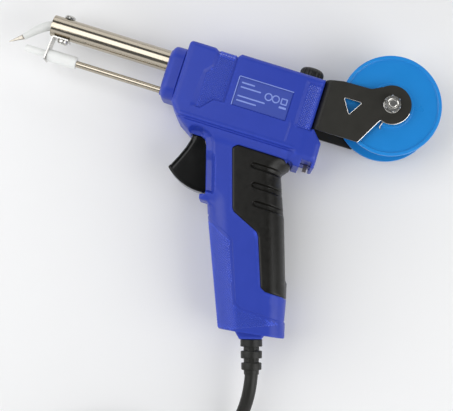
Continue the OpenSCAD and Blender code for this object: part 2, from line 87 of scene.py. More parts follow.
def area_light(name, place, target, size, power):
    data = bpy.data.lights.new(name, "AREA")
    data.shape = "RECTANGLE"
    data.size, data.size_y = size
    data.energy = power
    o = add(name, data)
    o.location = gun(*place)
    o.rotation_mode = "QUATERNION"
    o.rotation_quaternion = (gun(*target) - gun(*place)).to_track_quat("-Z", "Y")


# ---------------------------------------------------------------- materials


MAT = {}


def material(name, colour, rough=0.5, metal=0.0, grain=0.0, grain_mm=0.3, vary=0.06, vary_mm=8.0,
             rough_vary=0.06, stretch=(1, 1, 1), specular=0.5, wear=0.0):
    """Files a procedural material in MAT: broad colour change, fine grain and lighter worn edges."""
    m = bpy.data.materials.new(name)
    m.use_nodes = True
    tree = m.node_tree
    link = tree.links.new
    bsdf = tree.nodes["Principled BSDF"]

    def node(kind, **values):
        made = tree.nodes.new("ShaderNode" + kind)
        for socket, value in values.items():
            made.inputs[socket.replace("_", " ")].default_value = value
        return made

    scale = node("Mapping", Scale=stretch)
    link(node("TexCoord").outputs["Object"], scale.inputs["Vector"])
    broad = node("TexNoise", Scale=1000 / vary_mm, Detail=3)
    fine = node("TexNoise", Scale=1000 / grain_mm, Detail=2)
    for noise in (broad, fine):
        link(scale.outputs["Vector"], noise.inputs["Vector"])
    mix = node("Mix")
    mix.data_type = "RGBA"
    link(broad.outputs["Fac"], mix.inputs["Factor"])
    mix.inputs["A"].default_value = (*[c * (1 - vary) for c in colour], 1)
    mix.inputs["B"].default_value = (*[min(1, c * (1 + vary)) for c in colour], 1)
    last = mix.outputs["Result"]
    if wear:
        ramp = node("MapRange", From_Min=0.52, From_Max=0.62)
        link(node("NewGeometry").outputs["Pointiness"], ramp.inputs["Value"])
        worn = node("Mix")
        worn.data_type = "RGBA"
        link(ramp.outputs["Result"], worn.inputs["Factor"])
        link(last, worn.inputs["A"])
        worn.inputs["B"].default_value = (*[min(1, c * (1 + wear) + 0.02 * wear) for c in colour], 1)
        last = worn.outputs["Result"]
    link(last, bsdf.inputs["Base Color"])
    spread = node("MapRange", To_Min=max(0.02, rough - rough_vary), To_Max=min(1, rough + rough_vary))
    link(broad.outputs["Fac"], spread.inputs["Value"])
    link(spread.outputs["Result"], bsdf.inputs["Roughness"])
    if grain:
        bump = node("Bump", Strength=grain, Distance=grain_mm / 1000 * 0.5)
        link(fine.outputs["Fac"], bump.inputs["Height"])
        link(bump.outputs["Normal"], bsdf.inputs["Normal"])
    bsdf.inputs["Metallic"].default_value = metal
    bsdf.inputs["Specular IOR Level"].default_value = specular
    MAT[name] = m


material("housing_blue", (0.019, 0.047, 0.40), 0.40, grain=0.25, grain_mm=0.35, wear=0.5,
         specular=0.4)
material("knurl_blue", (0.034, 0.070, 0.46), 0.24, grain=0.1, grain_mm=0.3, wear=0.6, specular=0.8)
material("grip_rubber", (0.007, 0.0065, 0.0052), 0.36, grain=0.2, grain_mm=0.3, vary=0.3,
         vary_mm=2.5, rough_vary=0.14, specular=0.32)
material("label_print", (0.034, 0.066, 0.38), 0.45, grain=0.2, grain_mm=0.25)
# Lighter blue of the label's raised lettering and of its top and left edge lines: painted highlight.
material("print_light", (0.22, 0.30, 0.72), 0.5, grain=0.2, grain_mm=0.25)
material("polished_steel", (0.48, 0.43, 0.35), 0.14, 1.0, grain=0.06, grain_mm=0.2,
         stretch=(0.04, 1, 1), rough_vary=0.05, vary=0.05, vary_mm=4)
material("zinc_steel", (0.60, 0.59, 0.56), 0.26, 1.0, grain=0.2, grain_mm=0.4, vary=0.12,
         vary_mm=2, rough_vary=0.1)
material("pin_steel", (0.42, 0.37, 0.29), 0.3, 1.0, grain=0.15, grain_mm=0.2, vary_mm=2)
material("tip_plating", (0.74, 0.75, 0.73), 0.36, grain=0.3, grain_mm=0.5, vary=0.08, vary_mm=1.5)
material("bare_point", (0.42, 0.39, 0.34), 0.22, 1.0, grain=0.2, grain_mm=0.15, vary=0.2,
         vary_mm=1.5, stretch=(0.3, 0.3, 1))
material("white_ceramic", (0.84, 0.85, 0.83), 0.38, grain=0.12, grain_mm=0.4, vary=0.03)
material("white_nylon", (0.78, 0.77, 0.71), 0.45, grain=0.15, vary=0.04)
material("trigger_black", (0.003, 0.0032, 0.003), 0.14, grain=0.03, grain_mm=0.5, vary=0.2,
         specular=0.3)
material("brass", (0.72, 0.52, 0.22), 0.25, 1.0, grain=0.1, vary_mm=2)
material("bracket_black", (0.022, 0.021, 0.017), 0.44, grain=0.3, grain_mm=0.25, vary=0.15,
         vary_mm=5, rough_vary=0.08, specular=0.35)
# Bright metal for thin lines on the bracket's black painted edges: a painted highlight standing in for light
# caught by those edges.
material("cut_edge", (0.78, 0.76, 0.72), 0.28, 1.0, grain=0.2, grain_mm=0.15, vary=0.2, vary_mm=3)
material("knob_black", (0.009, 0.009, 0.008), 0.4, grain=0.2, vary=0.2)
material("reel_blue", (0.010, 0.24, 0.67), 0.3, grain=0.08, grain_mm=0.6, vary=0.04, wear=0.25)
material("solder", (0.68, 0.68, 0.67), 0.35, 1.0, grain=0.2, grain_mm=0.4, vary=0.12, vary_mm=3)
material("cord_black", (0.012, 0.012, 0.010), 0.42, grain=0.2, grain_mm=0.6, vary=0.15,
         rough_vary=0.08, specular=0.35)
material("plug_black", (0.014, 0.014, 0.013), 0.4, grain=0.3, grain_mm=0.5, vary=0.15)
material("plug_metal", (0.75, 0.72, 0.66), 0.2, 1.0, grain=0.1, vary_mm=2)
material("floor_paper", (0.90, 0.90, 0.90), 0.8, grain=0.05, grain_mm=0.8, vary=0.01, vary_mm=60,
         rough_vary=0.02, specular=0.1)


# ---------------------------------------------------------------- building pieces


def piece(name, verts, faces, mat, body="gun", slot=None, replaces=(), smooth=38, creases=(), bevel=0.0,
          weld=1e-6, weighted=True):
    """verts are in gun coordinates; edges that lie on a crease line stay sharp."""
    mesh = bpy.data.meshes.new(name)
    mesh.from_pydata([gun(*v) for v in verts], [], [tuple(f) for f in faces])
    b = bmesh.new()
    b.from_mesh(mesh)
    bmesh.ops.remove_doubles(b, verts=b.verts, dist=weld)
    bmesh.ops.recalc_face_normals(b, faces=b.faces)
    b.to_mesh(mesh)
    b.free()
    mesh.materials.append(MAT[mat])
    mesh.shade_smooth()
    mesh.set_sharp_from_angle(angle=math.radians(smooth))
    if creases:
        co = np.array([(v.co - BASE)[:2] for v in mesh.vertices]) * 1000
        ends = np.array([tuple(e.vertices) for e in mesh.edges])
        mid = (co[ends[:, 0]] + co[ends[:, 1]]) / 2
        on = np.zeros(len(ends), bool)
        for line, closed in creases:
            on |= away(mid, line, closed)[0] < 0.012
        for i in np.nonzero(on)[0]:
            mesh.edges[int(i)].use_edge_sharp = True
    o = add(name, mesh)
    if bevel:
        mod = o.modifiers.new("edges", "BEVEL")
        mod.width = bevel / 1000
        mod.segments = 2
        mod.limit_method = "ANGLE"
        mod.angle_limit = math.radians(35)
        mod.harden_normals = True
    if weighted:
        mod = o.modifiers.new("normals", "WEIGHTED_NORMAL")
        mod.keep_sharp = True
        mod.weight = 60
    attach(o, body)
    if replaces:
        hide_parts(*replaces)
    return o


def join(*parts):
    verts, faces = [], []
    for v, f in parts:
        k = len(verts)
        verts += [tuple(p) for p in v]
        faces += [tuple(i + k for i in face) for face in f]
    return verts, faces


def turned(part, origin, axis, along=(0, 0, 1)):
    """Moves a part made round local +Z so that +Z points along axis and +X as near as may be to along."""
    z = Vector(axis).normalized()
    x = Vector(along) - z * Vector(along).dot(z)
    if x.length < 1e-6:
        x = Vector((1, 0, 0)) - z * z.x
    x.normalize()
    y = z.cross(x)
    o = Vector(origin)
    return [tuple(o + x * v[0] + y * v[1] + z * v[2]) for v in part[0]], part[1]


def lathe(profile, segs=64, radius=None):
    """profile is (r, z) from the inside round to the outside; radius(r, z, angle) may change a ring."""
    n = len(profile)
    verts, faces = [], []
    for k in range(segs):
        a = 2 * math.pi * k / segs
        for r, z in profile:
            q = radius(r, z, a) if radius else r
            verts.append((q * math.cos(a), q * math.sin(a), z))
    for k in range(segs):
        j = (k + 1) % segs
        for i in range(n - 1):
            faces.append((k * n + i, j * n + i, j * n + i + 1, k * n + i + 1))
    return verts, faces


def moved(part, x, y, z=0.0):
    return [(x + a, y + b, z + c) for a, b, c in part[0]], part[1]


def lying(part, y, z=0.0, x=0.0):
    """Lays a part made round local +Z along the barrel's direction."""
    return [(x + c, y + a, z + b) for a, b, c in part[0]], part[1]


def loft(rings, caps=True):
    """Joins closed rings of the same number of points."""
    n = len(rings[0])
    verts = [tuple(p) for r in rings for p in r]
    faces = []
    for i in range(len(rings) - 1):
        for k in range(n):
            j = (k + 1) % n
            faces.append((i * n + k, i * n + j, (i + 1) * n + j, (i + 1) * n + k))
    if caps:
        faces.append(tuple(range(n))[::-1])
        faces.append(tuple((len(rings) - 1) * n + k for k in range(n)))
    return verts, faces


def tube(path, radii, sides=24):
    """A tube swept along points, with one radius or a radius at each."""
    path = [Vector(p) for p in path]
    n = len(path)
    side = None
    rings = []
    for i, p in enumerate(path):
        t = (path[min(i + 1, n - 1)] - path[max(i - 1, 0)]).normalized()
        if side is None:
            side = t.cross(Vector((0, 0, 1)))
            if side.length < 1e-3:
                side = t.cross(Vector((1, 0, 0)))
        side = (side - t * side.dot(t)).normalized()
        up = side.cross(t)
        r = radii[i] if hasattr(radii, "__len__") else radii
        turns = [2 * math.pi * k / sides for k in range(sides)]
        rings.append([p + side * (r * math.cos(a)) + up * (r * math.sin(a)) for a in turns])
    return loft(rings)


def smooth_path(points, step=3.0):
    """A Catmull-Rom curve through the points, sampled about every step millimetres."""
    p = [Vector(q) for q in points]
    p = [2 * p[0] - p[1]] + p + [2 * p[-1] - p[-2]]
    out = []
    for i in range(1, len(p) - 2):
        k = max(1, round((p[i + 1] - p[i]).length / step))
        for j in range(k):
            t = j / k
            out.append(0.5 * (2 * p[i] + (p[i + 1] - p[i - 1]) * t
                              + (2 * p[i - 1] - 5 * p[i] + 4 * p[i + 1] - p[i + 2]) * t * t
                              + (3 * p[i] - p[i - 1] - 3 * p[i + 1] + p[i + 2]) * t ** 3))
    out.append(p[-2])
    return out


def rounded(points, turn=12):
    """Points (x, y, corner radius, tag of the edge that follows) to a list of (x, y, tag)."""
    full = [(*p, *(0, 0)[len(p) - 2:]) if len(p) < 4 else p for p in points]
    out = []
    n = len(full)
    for i, (x, y, r, tag) in enumerate(full):
        a, b, c = Vector(full[i - 1][:2]), Vector((x, y)), Vector(full[(i + 1) % n][:2])
        if r <= 0:
            out.append((x, y, tag))
            continue
        u, v = (a - b), (c - b)
        room = 0.48 * min(u.length, v.length)
        u.normalize()
        v.normalize()
        half = u.angle(v) / 2
        t = min(r / math.tan(half), room)
        r = t * math.tan(half)
        centre = b + (u + v).normalized() * (r / math.sin(half))
        s, e = b + u * t - centre, b + v * t - centre
        a0 = math.atan2(s.y, s.x)
        da = (math.atan2(e.y, e.x) - a0 + math.pi) % (2 * math.pi) - math.pi
        k = max(2, int(abs(math.degrees(da)) / turn) + 1)
        for j in range(k + 1):
            w = a0 + da * j / k
            out.append((centre.x + r * math.cos(w), centre.y + r * math.sin(w),
                        tag if j * 2 >= k else full[i - 1][3]))
    return out


def plain(points):
    """A rounded outline without its tags."""
    return [p[:2] for p in rounded(points)]


def box_loop(x0, y0, x1, y1, r=0.0):
    return [(x0, y0, r), (x1, y0, r), (x1, y1, r), (x0, y1, r)]


def divided(loop, step, closed=True):
    """The line with points added about every step; each keeps the tag of its edge."""
    out = []
    n = len(loop)
    for i in range(n if closed else n - 1):
        a, b = loop[i], loop[(i + 1) % n]
        d = math.dist(a[:2], b[:2])
        k = max(1, round(d / step))
        for j in range(k):
            t = j / k
            out.append((a[0] + (b[0] - a[0]) * t, a[1] + (b[1] - a[1]) * t, a[2] if len(a) > 2 else 0))
    if not closed:
        out.append((*loop[-1][:2], 0))
    return out


def circle(x, y, r, n=24):
    return [(x + r * math.cos(2 * math.pi * k / n), y + r * math.sin(2 * math.pi * k / n)) for k in range(n)]


def arc(centre, r, degrees):
    turns = [math.radians(a) for a in degrees]
    return [(centre[0] + r * math.cos(a), centre[1] + r * math.sin(a)) for a in turns]


def away(P, line, closed=True):
    """Distance from each point to a line, its nearest segment, and whether it is inside a closed one."""
    A = np.array([p[:2] for p in line], float)
    B = np.roll(A, -1, 0)
    if not closed:
        A, B = A[:-1], B[:-1]
    D = B - A
    L = np.maximum((D ** 2).sum(1), 1e-12)
    best = np.empty(len(P))
    which = np.empty(len(P), int)
    inside = np.zeros(len(P), bool)
    for s in range(0, len(P), 2000):
        Q = P[s:s + 2000, None, :]
        t = np.clip(((Q - A) * D).sum(2) / L, 0, 1)
        d = np.sqrt(((Q - A - t[..., None] * D) ** 2).sum(2))
        which[s:s + 2000] = d.argmin(1)
        best[s:s + 2000] = d.min(1)
        if closed:
            y = Q[..., 1]
            cross = (A[:, 1] > y) != (B[:, 1] > y)
            with np.errstate(divide="ignore", invalid="ignore"):
                xi = A[:, 0] + (y - A[:, 1]) * D[:, 0] / np.where(D[:, 1] == 0, 1e-12, D[:, 1])
            inside[s:s + 2000] = ((cross & (Q[..., 0] < xi)).sum(1) % 2).astype(bool)
    return best, which, inside


def depth_in(P, loop):
    """Signed distance to a closed outline, positive inside."""
    d, _, inside = away(P, loop)
    return np.where(inside, d, -d)


def fall(d, r, drop=None):
    """How far a surface has dropped at distance d inside an edge rounded over r."""
    t = np.clip(1 - d / r, 0, 1)
    return (r if drop is None else drop) * (1 - np.sqrt(np.maximum(0, 1 - t * t)))


def ease(t):
    t = np.clip(t, 0, 1)
    return t * t * (3 - 2 * t)


def soft_max(a, b, k):
    h = np.maximum(k - np.abs(a - b), 0) / k
    return np.maximum(a, b) + h * h * k / 4


def soft_min(a, b, k):
    return -soft_max(-a, -b, k)


def pit_share(P, outer, inner):
    """0 outside outer, 1 inside inner, and an even slope between them."""
    do, di = depth_in(P, outer), depth_in(P, inner)
    t = do / np.maximum(do - np.minimum(di, 0), 1e-9)
    return np.where(do <= 0, 0.0, np.where(di >= 0, 1.0, np.clip(t, 0, 1)))


def relief(outline, height, lines=(), step=1.1, rings=(0.12, 0.32, 0.6, 1.0, 1.5, 2.2, 3.1, 4.2, 5.6, 7.2),
           grid=1.5, dense=(), lip=5.0, seam=0.25):
    """A raised side of a body: a surface over an outline, and its wall down to the middle plane.
    Tags on outline edges: where the wall ends; above 0 it is open below that and has a lip,
    and below -50 the wall is only as deep as tag + 100 under the surface."""
    loop = divided(rounded(outline), step)
    flat = np.array([p[:2] for p in loop])
    area = 0.5 * np.sum(flat[:, 0] * np.roll(flat[:, 1], -1) - flat[:, 1] * np.roll(flat[:, 0], -1))
    if area < 0:
        tags = [p[2] for p in loop]
        n = len(loop)
        loop = [(*loop[n - 1 - i][:2], tags[(n - 2 - i) % n]) for i in range(n)]
        flat = np.array([p[:2] for p in loop])
    nxt = np.roll(flat, -1, 0)
    edge = nxt - flat
    inward = np.stack([-edge[:, 1], edge[:, 0]], 1)
    inward /= np.maximum(np.linalg.norm(inward, axis=1), 1e-9)[:, None]
    mid = (flat + nxt) / 2
    pts = [tuple(p) for p in flat]
    edges = [(i, (i + 1) % len(pts)) for i in range(len(pts))]
    cand = []
    for k, r in enumerate(rings):
        c = (mid if k % 2 == 0 else flat) + inward * r
        d, _, inside = away(c, flat)
        c = c[inside & (np.abs(d - r) < 0.04 * r + 0.02)]
        keep = []
        for q in c:
            if not keep or math.dist(q, keep[-1]) > 0.55 * min(max(r, 0.5 * step), grid):
                keep.append(q)
        cand += keep
    lo, hi = flat.min(0), flat.max(0)
    xs, ys = np.meshgrid(np.arange(lo[0], hi[0], grid), np.arange(lo[1], hi[1], grid * 0.87))
    xs[1::2] += grid / 2
    g = np.stack([xs.ravel(), ys.ravel()], 1)
    d, _, inside = away(g, flat)
    cand += list(g[inside & (d > rings[-1] + 0.3 * grid)])
    for line, reach, space in dense:
        line = np.array(line)
        a, b = line.min(0) - reach, line.max(0) + reach
        xs, ys = np.meshgrid(np.arange(a[0], b[0], space), np.arange(a[1], b[1], space))
        g = np.stack([xs.ravel(), ys.ravel()], 1)
        g = g[away(g, line, False)[0] < reach]
        d, _, inside = away(g, flat)
        cand += list(g[inside & (d > 0.4)])
    pts += [tuple(map(float, q)) for q in cand]
    for line, closed in lines:
        part = divided([(*p[:2], 0) for p in line], step, closed)
        k = len(pts)
        pts += [p[:2] for p in part]
        edges += [(k + i, k + i + 1) for i in range(len(part) - 1)]
        if closed:
            edges.append((k + len(part) - 1, k))
    co, _, tris, _, _, _ = delaunay_2d_cdt([Vector(p) for p in pts], edges, [list(range(len(flat)))], 1, 1e-5)
    co = np.array([(v.x, v.y) for v in co])
    tris = [t for t in tris if len(t) == 3]
    centre = np.array([co[list(t)].mean(0) for t in tris])
    tris = [t for t, ok in zip(tris, away(centre, flat)[2]) if ok]
    z = height(co)
    verts = [(float(p[0]), float(p[1]), float(h)) for p, h in zip(co, z)]
    faces, count = [], {}
    for t in tris:
        a, b, c = (co[i] for i in t)
        if (b[0] - a[0]) * (c[1] - a[1]) - (b[1] - a[1]) * (c[0] - a[0]) < 0:
            t = t[::-1]
        faces.append(tuple(t))
        for i in range(3):
            e = (t[i], t[(i + 1) % 3])
            count[tuple(sorted(e))] = count.get(tuple(sorted(e)), []) + [e]
    rim = [v[0] for v in count.values() if len(v) == 1]
    mids = np.array([(co[a] + co[b]) / 2 for a, b in rim])
    _, seg, _ = away(mids, flat)
    normal = {}
    for (a, b), s in zip(rim, seg):
        for i in (a, b):
            normal[i] = normal.get(i, Vector((0, 0))) + Vector(inward[s])
    made = {}

    def point(i, zz, inset):
        key = (i, round(zz, 4), inset)
        if key not in made:
            n = normal[i].normalized() * inset
            made[key] = len(verts)
            verts.append((verts[i][0] + n.x, verts[i][1] + n.y, zz))
        return made[key]

    for (a, b), s in zip(rim, seg):
        tag = loop[s][2]
        if tag <= -50:
            ends = [[(verts[i][2] - (tag + 100), 0)] for i in (a, b)]
        elif tag > 0:
            ends = [[(tag + 0.3, 0), (tag, 0.3), (tag, lip if tag > 5 else 1.0)] for i in (a, b)]
        elif seam:
            ends = [[(1.2 * seam, 0), (0.02, seam), (0.0, 1.5)] for i in (a, b)]
        else:
            ends = [[(0.0, 0)] for i in (a, b)]
        row = [a, b]
        for (za, ia), (zb, ib) in zip(*ends):
            nrow = [point(a, min(za, verts[a][2]), ia), point(b, min(zb, verts[b][2]), ib)]
            faces.append((row[1], row[0], nrow[0], nrow[1]))
            row = nrow
    return verts, faces


def mirrored(part):
    return [(x, y, -z) for x, y, z in part[0]], [f[::-1] for f in part[1]]


def plate(loops, z0, z1, bevel=0.2):
    """A flat plate with holes and softened edges, from a filled curve."""
    data = bpy.data.curves.new("plate", "CURVE")
    data.dimensions = "2D"
    data.fill_mode = "BOTH"
    for loop in loops:
        s = data.splines.new("POLY")
        s.points.add(len(loop) - 1)
        for q, p in zip(s.points, loop):
            q.co = (p[0], p[1], 0, 1)
        s.use_cyclic_u = True
    data.extrude = (z1 - z0) / 2 - bevel
    data.bevel_depth = bevel
    data.bevel_resolution = 1
    data.offset = -bevel
    o = add("plate", data)
    bpy.context.view_layer.update()
    mesh = bpy.data.meshes.new_from_object(o.evaluated_get(bpy.context.evaluated_depsgraph_get()))
    mid = (z0 + z1) / 2
    verts = [(v.co.x, v.co.y, v.co.z + mid) for v in mesh.vertices]
    faces = [tuple(f.vertices) for f in mesh.polygons]
    bpy.data.objects.remove(o)
    bpy.data.curves.remove(data)
    bpy.data.meshes.remove(mesh)
    return verts, faces


def knurl(place, us, vs, pitch, keep, high=0.42, sink=0.1):
    """Pyramids over a surface: place(u, v) gives its points, keep(points) says which cells stay."""
    corners = []
    nu, nv = int((us[1] - us[0]) / pitch), int((vs[1] - vs[0]) / pitch)
    for i in range(nu):
        for j in range(nv):
            if (i + j) % 2:
                continue
            u, v = us[0] + i * pitch, vs[0] + j * pitch
            corners += [(u + pitch, v), (u, v + pitch), (u - pitch, v), (u, v - pitch)]
    P = place(np.array(corners)).reshape(-1, 4, 3)
    ok = keep(P.reshape(-1, 3)[:, :2]).reshape(-1, 4).all(1)
    verts, faces = [], []
    for c in P[ok]:
        n = np.cross(c[0] - c[2], c[1] - c[3])
        n /= max(np.linalg.norm(n), 1e-9)
        if n[2] < -0.2:
            n = -n
        k = len(verts)
        verts += [tuple(q - n * sink) for q in c] + [tuple(c.mean(0) + n * high)]
        faces += [(k, k + 1, k + 4), (k + 1, k + 2, k + 4), (k + 2, k + 3, k + 4), (k + 3, k, k + 4)]
    return verts, faces


def bar(r, x0, x1, y, z=0.0, edge=0.2, bore=0.0, segs=48):
    """A round bar or tube along the barrel's direction."""
    profile = [(bore, x1), (r - edge, x1), (r, x1 - edge), (r, x0 + edge), (r - edge, x0), (bore, x0)]
    if bore:
        profile.append(profile[0])
    return lying(lathe(profile, segs), y, z)


# ---------------------------------------------------------------- cord


def cord_route():
    start = [
        (90.2, -110.2, 0), (98, -135, 0), (101, -144.5, 0), (104, -154, 0), (105.6, -162, -0.6),
        (106.4, -171, -3), (106, -180, -7), (105, -190, -11.4), (104, -201, -15.2),
        (103.2, -213, -17.5), (102.6, -226, -18.0), (101, -238, -17.8),
    ]
    coil = []
    for a in range(0, 1551, 10):
        if a <= 1050:
            r = 49.6 - 7.6 * float(ease((a - 330) / 60)) - 7.6 * float(ease((a - 690) / 60))
            z = -17.6
        else:
            r = 34.4 + 3.8 * float(ease((a - 1050) / 60)) + 7.6 * float(ease((a - 1410) / 60))
            z = -17.6 + 6.58 * float(ease((a - 1050) / 60))
        w = math.radians(-a)
        coil.append((50 + r * math.cos(w), -258 + r * math.sin(w), z))
    finish = [(28, -299.6, -12.0), (20, -298.4, -13.9), (12, -298, -15.2), (4, -298, -15.5)]
    return smooth_path(start + coil + finish, 3)


def make_cord():
    route = cord_route()
    data = bpy.data.curves.new("mains_cord", "CURVE")
    data.dimensions = "3D"
    s = data.splines.new("POLY")
    s.points.add(len(route) - 1)
    for q, p in zip(s.points, route):
        q.co = (*gun(*p), 1)
    data.bevel_depth = 0.0038
    data.bevel_resolution = 6
    data.use_fill_caps = True
    s.use_smooth = True
    data.materials.append(MAT["cord_black"])
    o = add("mains_cord", data)
    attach(o, "gun")
    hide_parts("power_cord", "cord_coil")
    return o, sum((b - a).length for a, b in zip(route, route[1:])) / 1000


make_camera()
mains_cord, cord_length = make_cord()

OUT = Vector((0.3007, -0.9537, 0))
EXIT = Vector((98, -135, 0))


def make_relief_boot():
    rings = [
        (3.95, -9), (6.4, -9), (6.4, -7.2), (4.6, -7), (4.6, 0.7), (6.1, 0.85), (6.3, 1.1), (6.3, 4.7),
        (6.1, 5.0), (4.5, 5.2), (4.5, 7.3), (5.95, 7.5), (6.15, 7.8), (6.1, 11.4), (5.9, 11.7),
        (4.35, 11.9), (4.35, 14.0), (5.65, 14.2), (5.85, 14.5), (5.8, 17.9), (5.6, 18.2), (4.4, 18.5),
        (4.3, 20.7), (4.05, 21), (3.9, 21), (3.9, 10), (3.95, -9),
    ]
    parts = [lathe(rings, 72)]
    for z0, z1 in ((4.9, 7.6), (11.6, 14.3)):
        for k in range(2):
            w = math.radians(180 * k)
            c, s = math.cos(w), math.sin(w)
            box = [(4.0, -1.6), (5.6, -1.5), (5.6, 1.5), (4.0, 1.6)]
            rings4 = [[(x * c - y * s, x * s + y * c, z) for x, y in box] for z in (z0, z1)]
            parts.append(loft(rings4))
    v, f = join(*parts)
    return piece("relief_boot", *turned((v, f), EXIT, OUT, (0, 0, 1)), "cord_black", replaces=["strain_relief"])


relief_boot = make_relief_boot()


def rounded_box_ring(x, half_y, half_z, r, centre, n=6):
    out = []
    for cy, cz, a0 in ((1, 1, 0), (-1, 1, 90), (-1, -1, 180), (1, -1, 270)):
        for k in range(n + 1):
            w = math.radians(a0 + 90 * k / n)
            out.append((x, centre[0] + cy * (half_y - r) + r * math.cos(w),
                        centre[1] + cz * (half_z - r) + r * math.sin(w)))
    return out


PLUG_X, PLUG_Y, PLUG_Z = 4, -298, -15.5


def make_plug():
    rings = [rounded_box_ring(PLUG_X + x, a, b, min(r, a, b), (PLUG_Y, PLUG_Z)) for x, a, b, r in (
        (0.0, 4.0, 4.0, 3.9), (-0.4, 5.2, 5.0, 4.2), (-2.5, 5.8, 5.4, 4.4), (-3.2, 5.2, 5.0, 4.2),
        (-4.0, 5.2, 5.0, 4.2),
        (-4.8, 6.4, 5.6, 4.4), (-8, 9.6, 6.1, 4.4), (-11, 12.0, 6.25, 4.6), (-14, 12.9, 6.3, 4.8),
        (-30, 13.0, 6.3, 4.8), (-33, 12.9, 6.3, 4.8), (-35, 12.6, 6.3, 4.6), (-35.8, 12.0, 5.8, 4.2),
        (-36, 11.2, 5.0, 3.6))]
    ribs = []
    for x in (-18, -21.5, -25):
        for s in (1, -1):
            ribs.append(tube([(PLUG_X + x, PLUG_Y + y, PLUG_Z + s * 6.12) for y in (-6.5, 6.5)], 0.37, 8))
    body = piece("plug_shell", *join(loft(rings), *ribs), "plug_black", replaces=["plug_body"])
    pins = []
    for s in (-9.5, 9.5):
        pin = lathe([(0, -55.3), (1.2, -55.3), (1.7, -55.0), (2.0, -54.4), (2.0, -36.3), (1.7, -36.2),
                     (1.7, -28)], 32)
        pins.append(lying(pin, PLUG_Y + s, PLUG_Z, PLUG_X))
    metal = piece("plug_contacts", *join(*pins), "plug_metal", replaces=["plug_pins"])
    return body, metal


plug_shell, plug_contacts = make_plug()


def make_tie():
    band = plate([plain(box_loop(-12, 0, 12, 16.4, 2.5)), plain(box_loop(-11.4, 0.6, 11.4, 15.8, 2.0))],
                 -4, 4, 0.15)
    band = [(8 + a, -258 - c, FLOOR + b) for a, b, c in band[0]], band[1]
    lock = moved(plate([plain(box_loop(-4.5, -5, 4.5, 5, 1))], 0, 1.2, 0.4), 8, -258, FLOOR + 15.4)
    return piece("cord_tie", *join(band, lock), "cord_black", replaces=["coil_tie"])


cord_tie = make_tie()

# ---------------------------------------------------------------- housing

BODY = [
    (14.2, 16.1, 2.4), (29.5, 16.1, 2), (31.3, 15, 2), (42.8, 15, 1.6), (44.6, 16.9, 1.6), (94.6, 16.9, 0.4),
    (94.6, -11.9), (96.3, -11.9, 0.5), (102.4, -18.6, 1.5), (102.8, -36), (90, -60), (40, -60),
    (29, -33.6, 1.5), (20.5, -28.4, 4), (14.2, -21.2, 3),
]
GRIP = [
    (20, -10), (38, -62), (46, -68.6, 2), (50.6, -68.8, 2), (53.4, -76.2), (85, -152), (123.5, -152),
    (112.9, -119.5), (110.3, -108), (106.6, -98), (95.5, -64.5), (90.3, -51), (86.8, -43, 3),
    (86.6, -41, 3), (90.2, -36.5, 1), (91, -28), (98, -10),
]
SLOT = [(33, -33.2), (36.2, -33.3), (38.6, -34.8), (40.2, -37.6), (47.8, -63.2), (48.3, -65)]
HOOK = [(44.9, -65.8), (47.6, -64.6), (52, -60), (58, -72), (51.4, -70), (50.4, -68.6), (45.5, -68.6)]
COLLAR = [(87.5, -131), (87.7, -134.3, 0.5), (91.5, -137.8, 0.8), (103.6, -134, 0.6),
          (104.9, -131.0), (104, -125), (89, -125)]
FRONT_PANEL = [(25, -20.4, 0.4), (26.6, 1.2, 1), (30.2, 5.6, 1), (30.6, 18), (43.5, 18), (43.5, -13.2, 0.4),
               (37.2, -13.6, 0.6), (31.2, -20.2, 0.6)]
FRONT_FLOOR = [(28.0, -19.4, 0.4), (28.2, 0.9, 1), (31.6, 5.1, 1), (31.9, 18), (43.1, 18), (43.1, -12.7, 0.4),
               (37.0, -13.1, 0.6), (31.0, -19.6, 0.6)]
REAR_PANEL = [(84.0, 13.4, 0.6), (95.5, 13.4), (95.5, -14.3), (84.3, -14.3, 0.5)]
REAR_FLOOR = [(86.2, 12.4, 0.6), (95.5, 12.4), (95.5, -13.7), (86.2, -13.7, 0.4)]
LABEL = box_loop(47.2, -13.1, 79.5, 4.3, 0.5)
LABEL_FLOOR = box_loop(47.6, -12.7, 79.1, 3.9, 0.3)
KNURL_ZONE = [(50, -74.6), (60.4, -79.6, 1), (70.8, -84.5, 1.5), (83.3, -118.0, 2.5), (86, -120.0, 1.5),
              (99.5, -120.6),
              (125, -121.5), (125, -150), (60, -150)]
KNURL_FLOOR = [(50, -75.3), (60.2, -80.2, 1), (70.3, -85.0, 1.5), (82.7, -118.3, 2.5), (85.8, -120.6, 1.5),
               (99.5, -121.2), (125, -122.1), (125, -150), (60, -150)]
RUBBER = [
    (54.9, -35.2, 2, -98), (57.6, -32.7, 2.5, -98), (87.0, -32.7, 1.2, -98), (90.0, -34.6, 0.5),
    (90.0, -37.0, 0.8),
    (86.4, -41.2, 3), (87.9, -44.8, 1), (90.1, -51.2, 0.5), (91.3, -54.4, 0.5), (93.8, -60.9, 0.5),
    (95.7, -64.8, 1), (106.7, -97.8, 1), (108.2, -99.6, 0.6), (110.4, -108.0, 0.4, -98), (97.2, -108.0, 3, -98),
    (94.1, -106.4, 2, -98), (84.1, -79.2, 2, -98), (82.2, -77.0, 2, -98), (66.9, -70.1, 2, -98),
    (65.4, -68.2, 2, -98),
]
SLOTS = [
    [(67.6, -40.9, 1.5), (69.2, -39.6, 1.5), (95, -39.6), (95, -43.2), (69, -43.2, 1.5)],
    [(71.2, -51.6, 1.5), (72.8, -50.2, 1.5), (99, -50.2), (99, -53.8), (72.6, -53.8, 1.5)],
    [(75.2, -61.4, 1.5), (76.8, -60.2, 1.5), (103, -60.2), (103, -63.8), (76.6, -63.8, 1.5)],
]
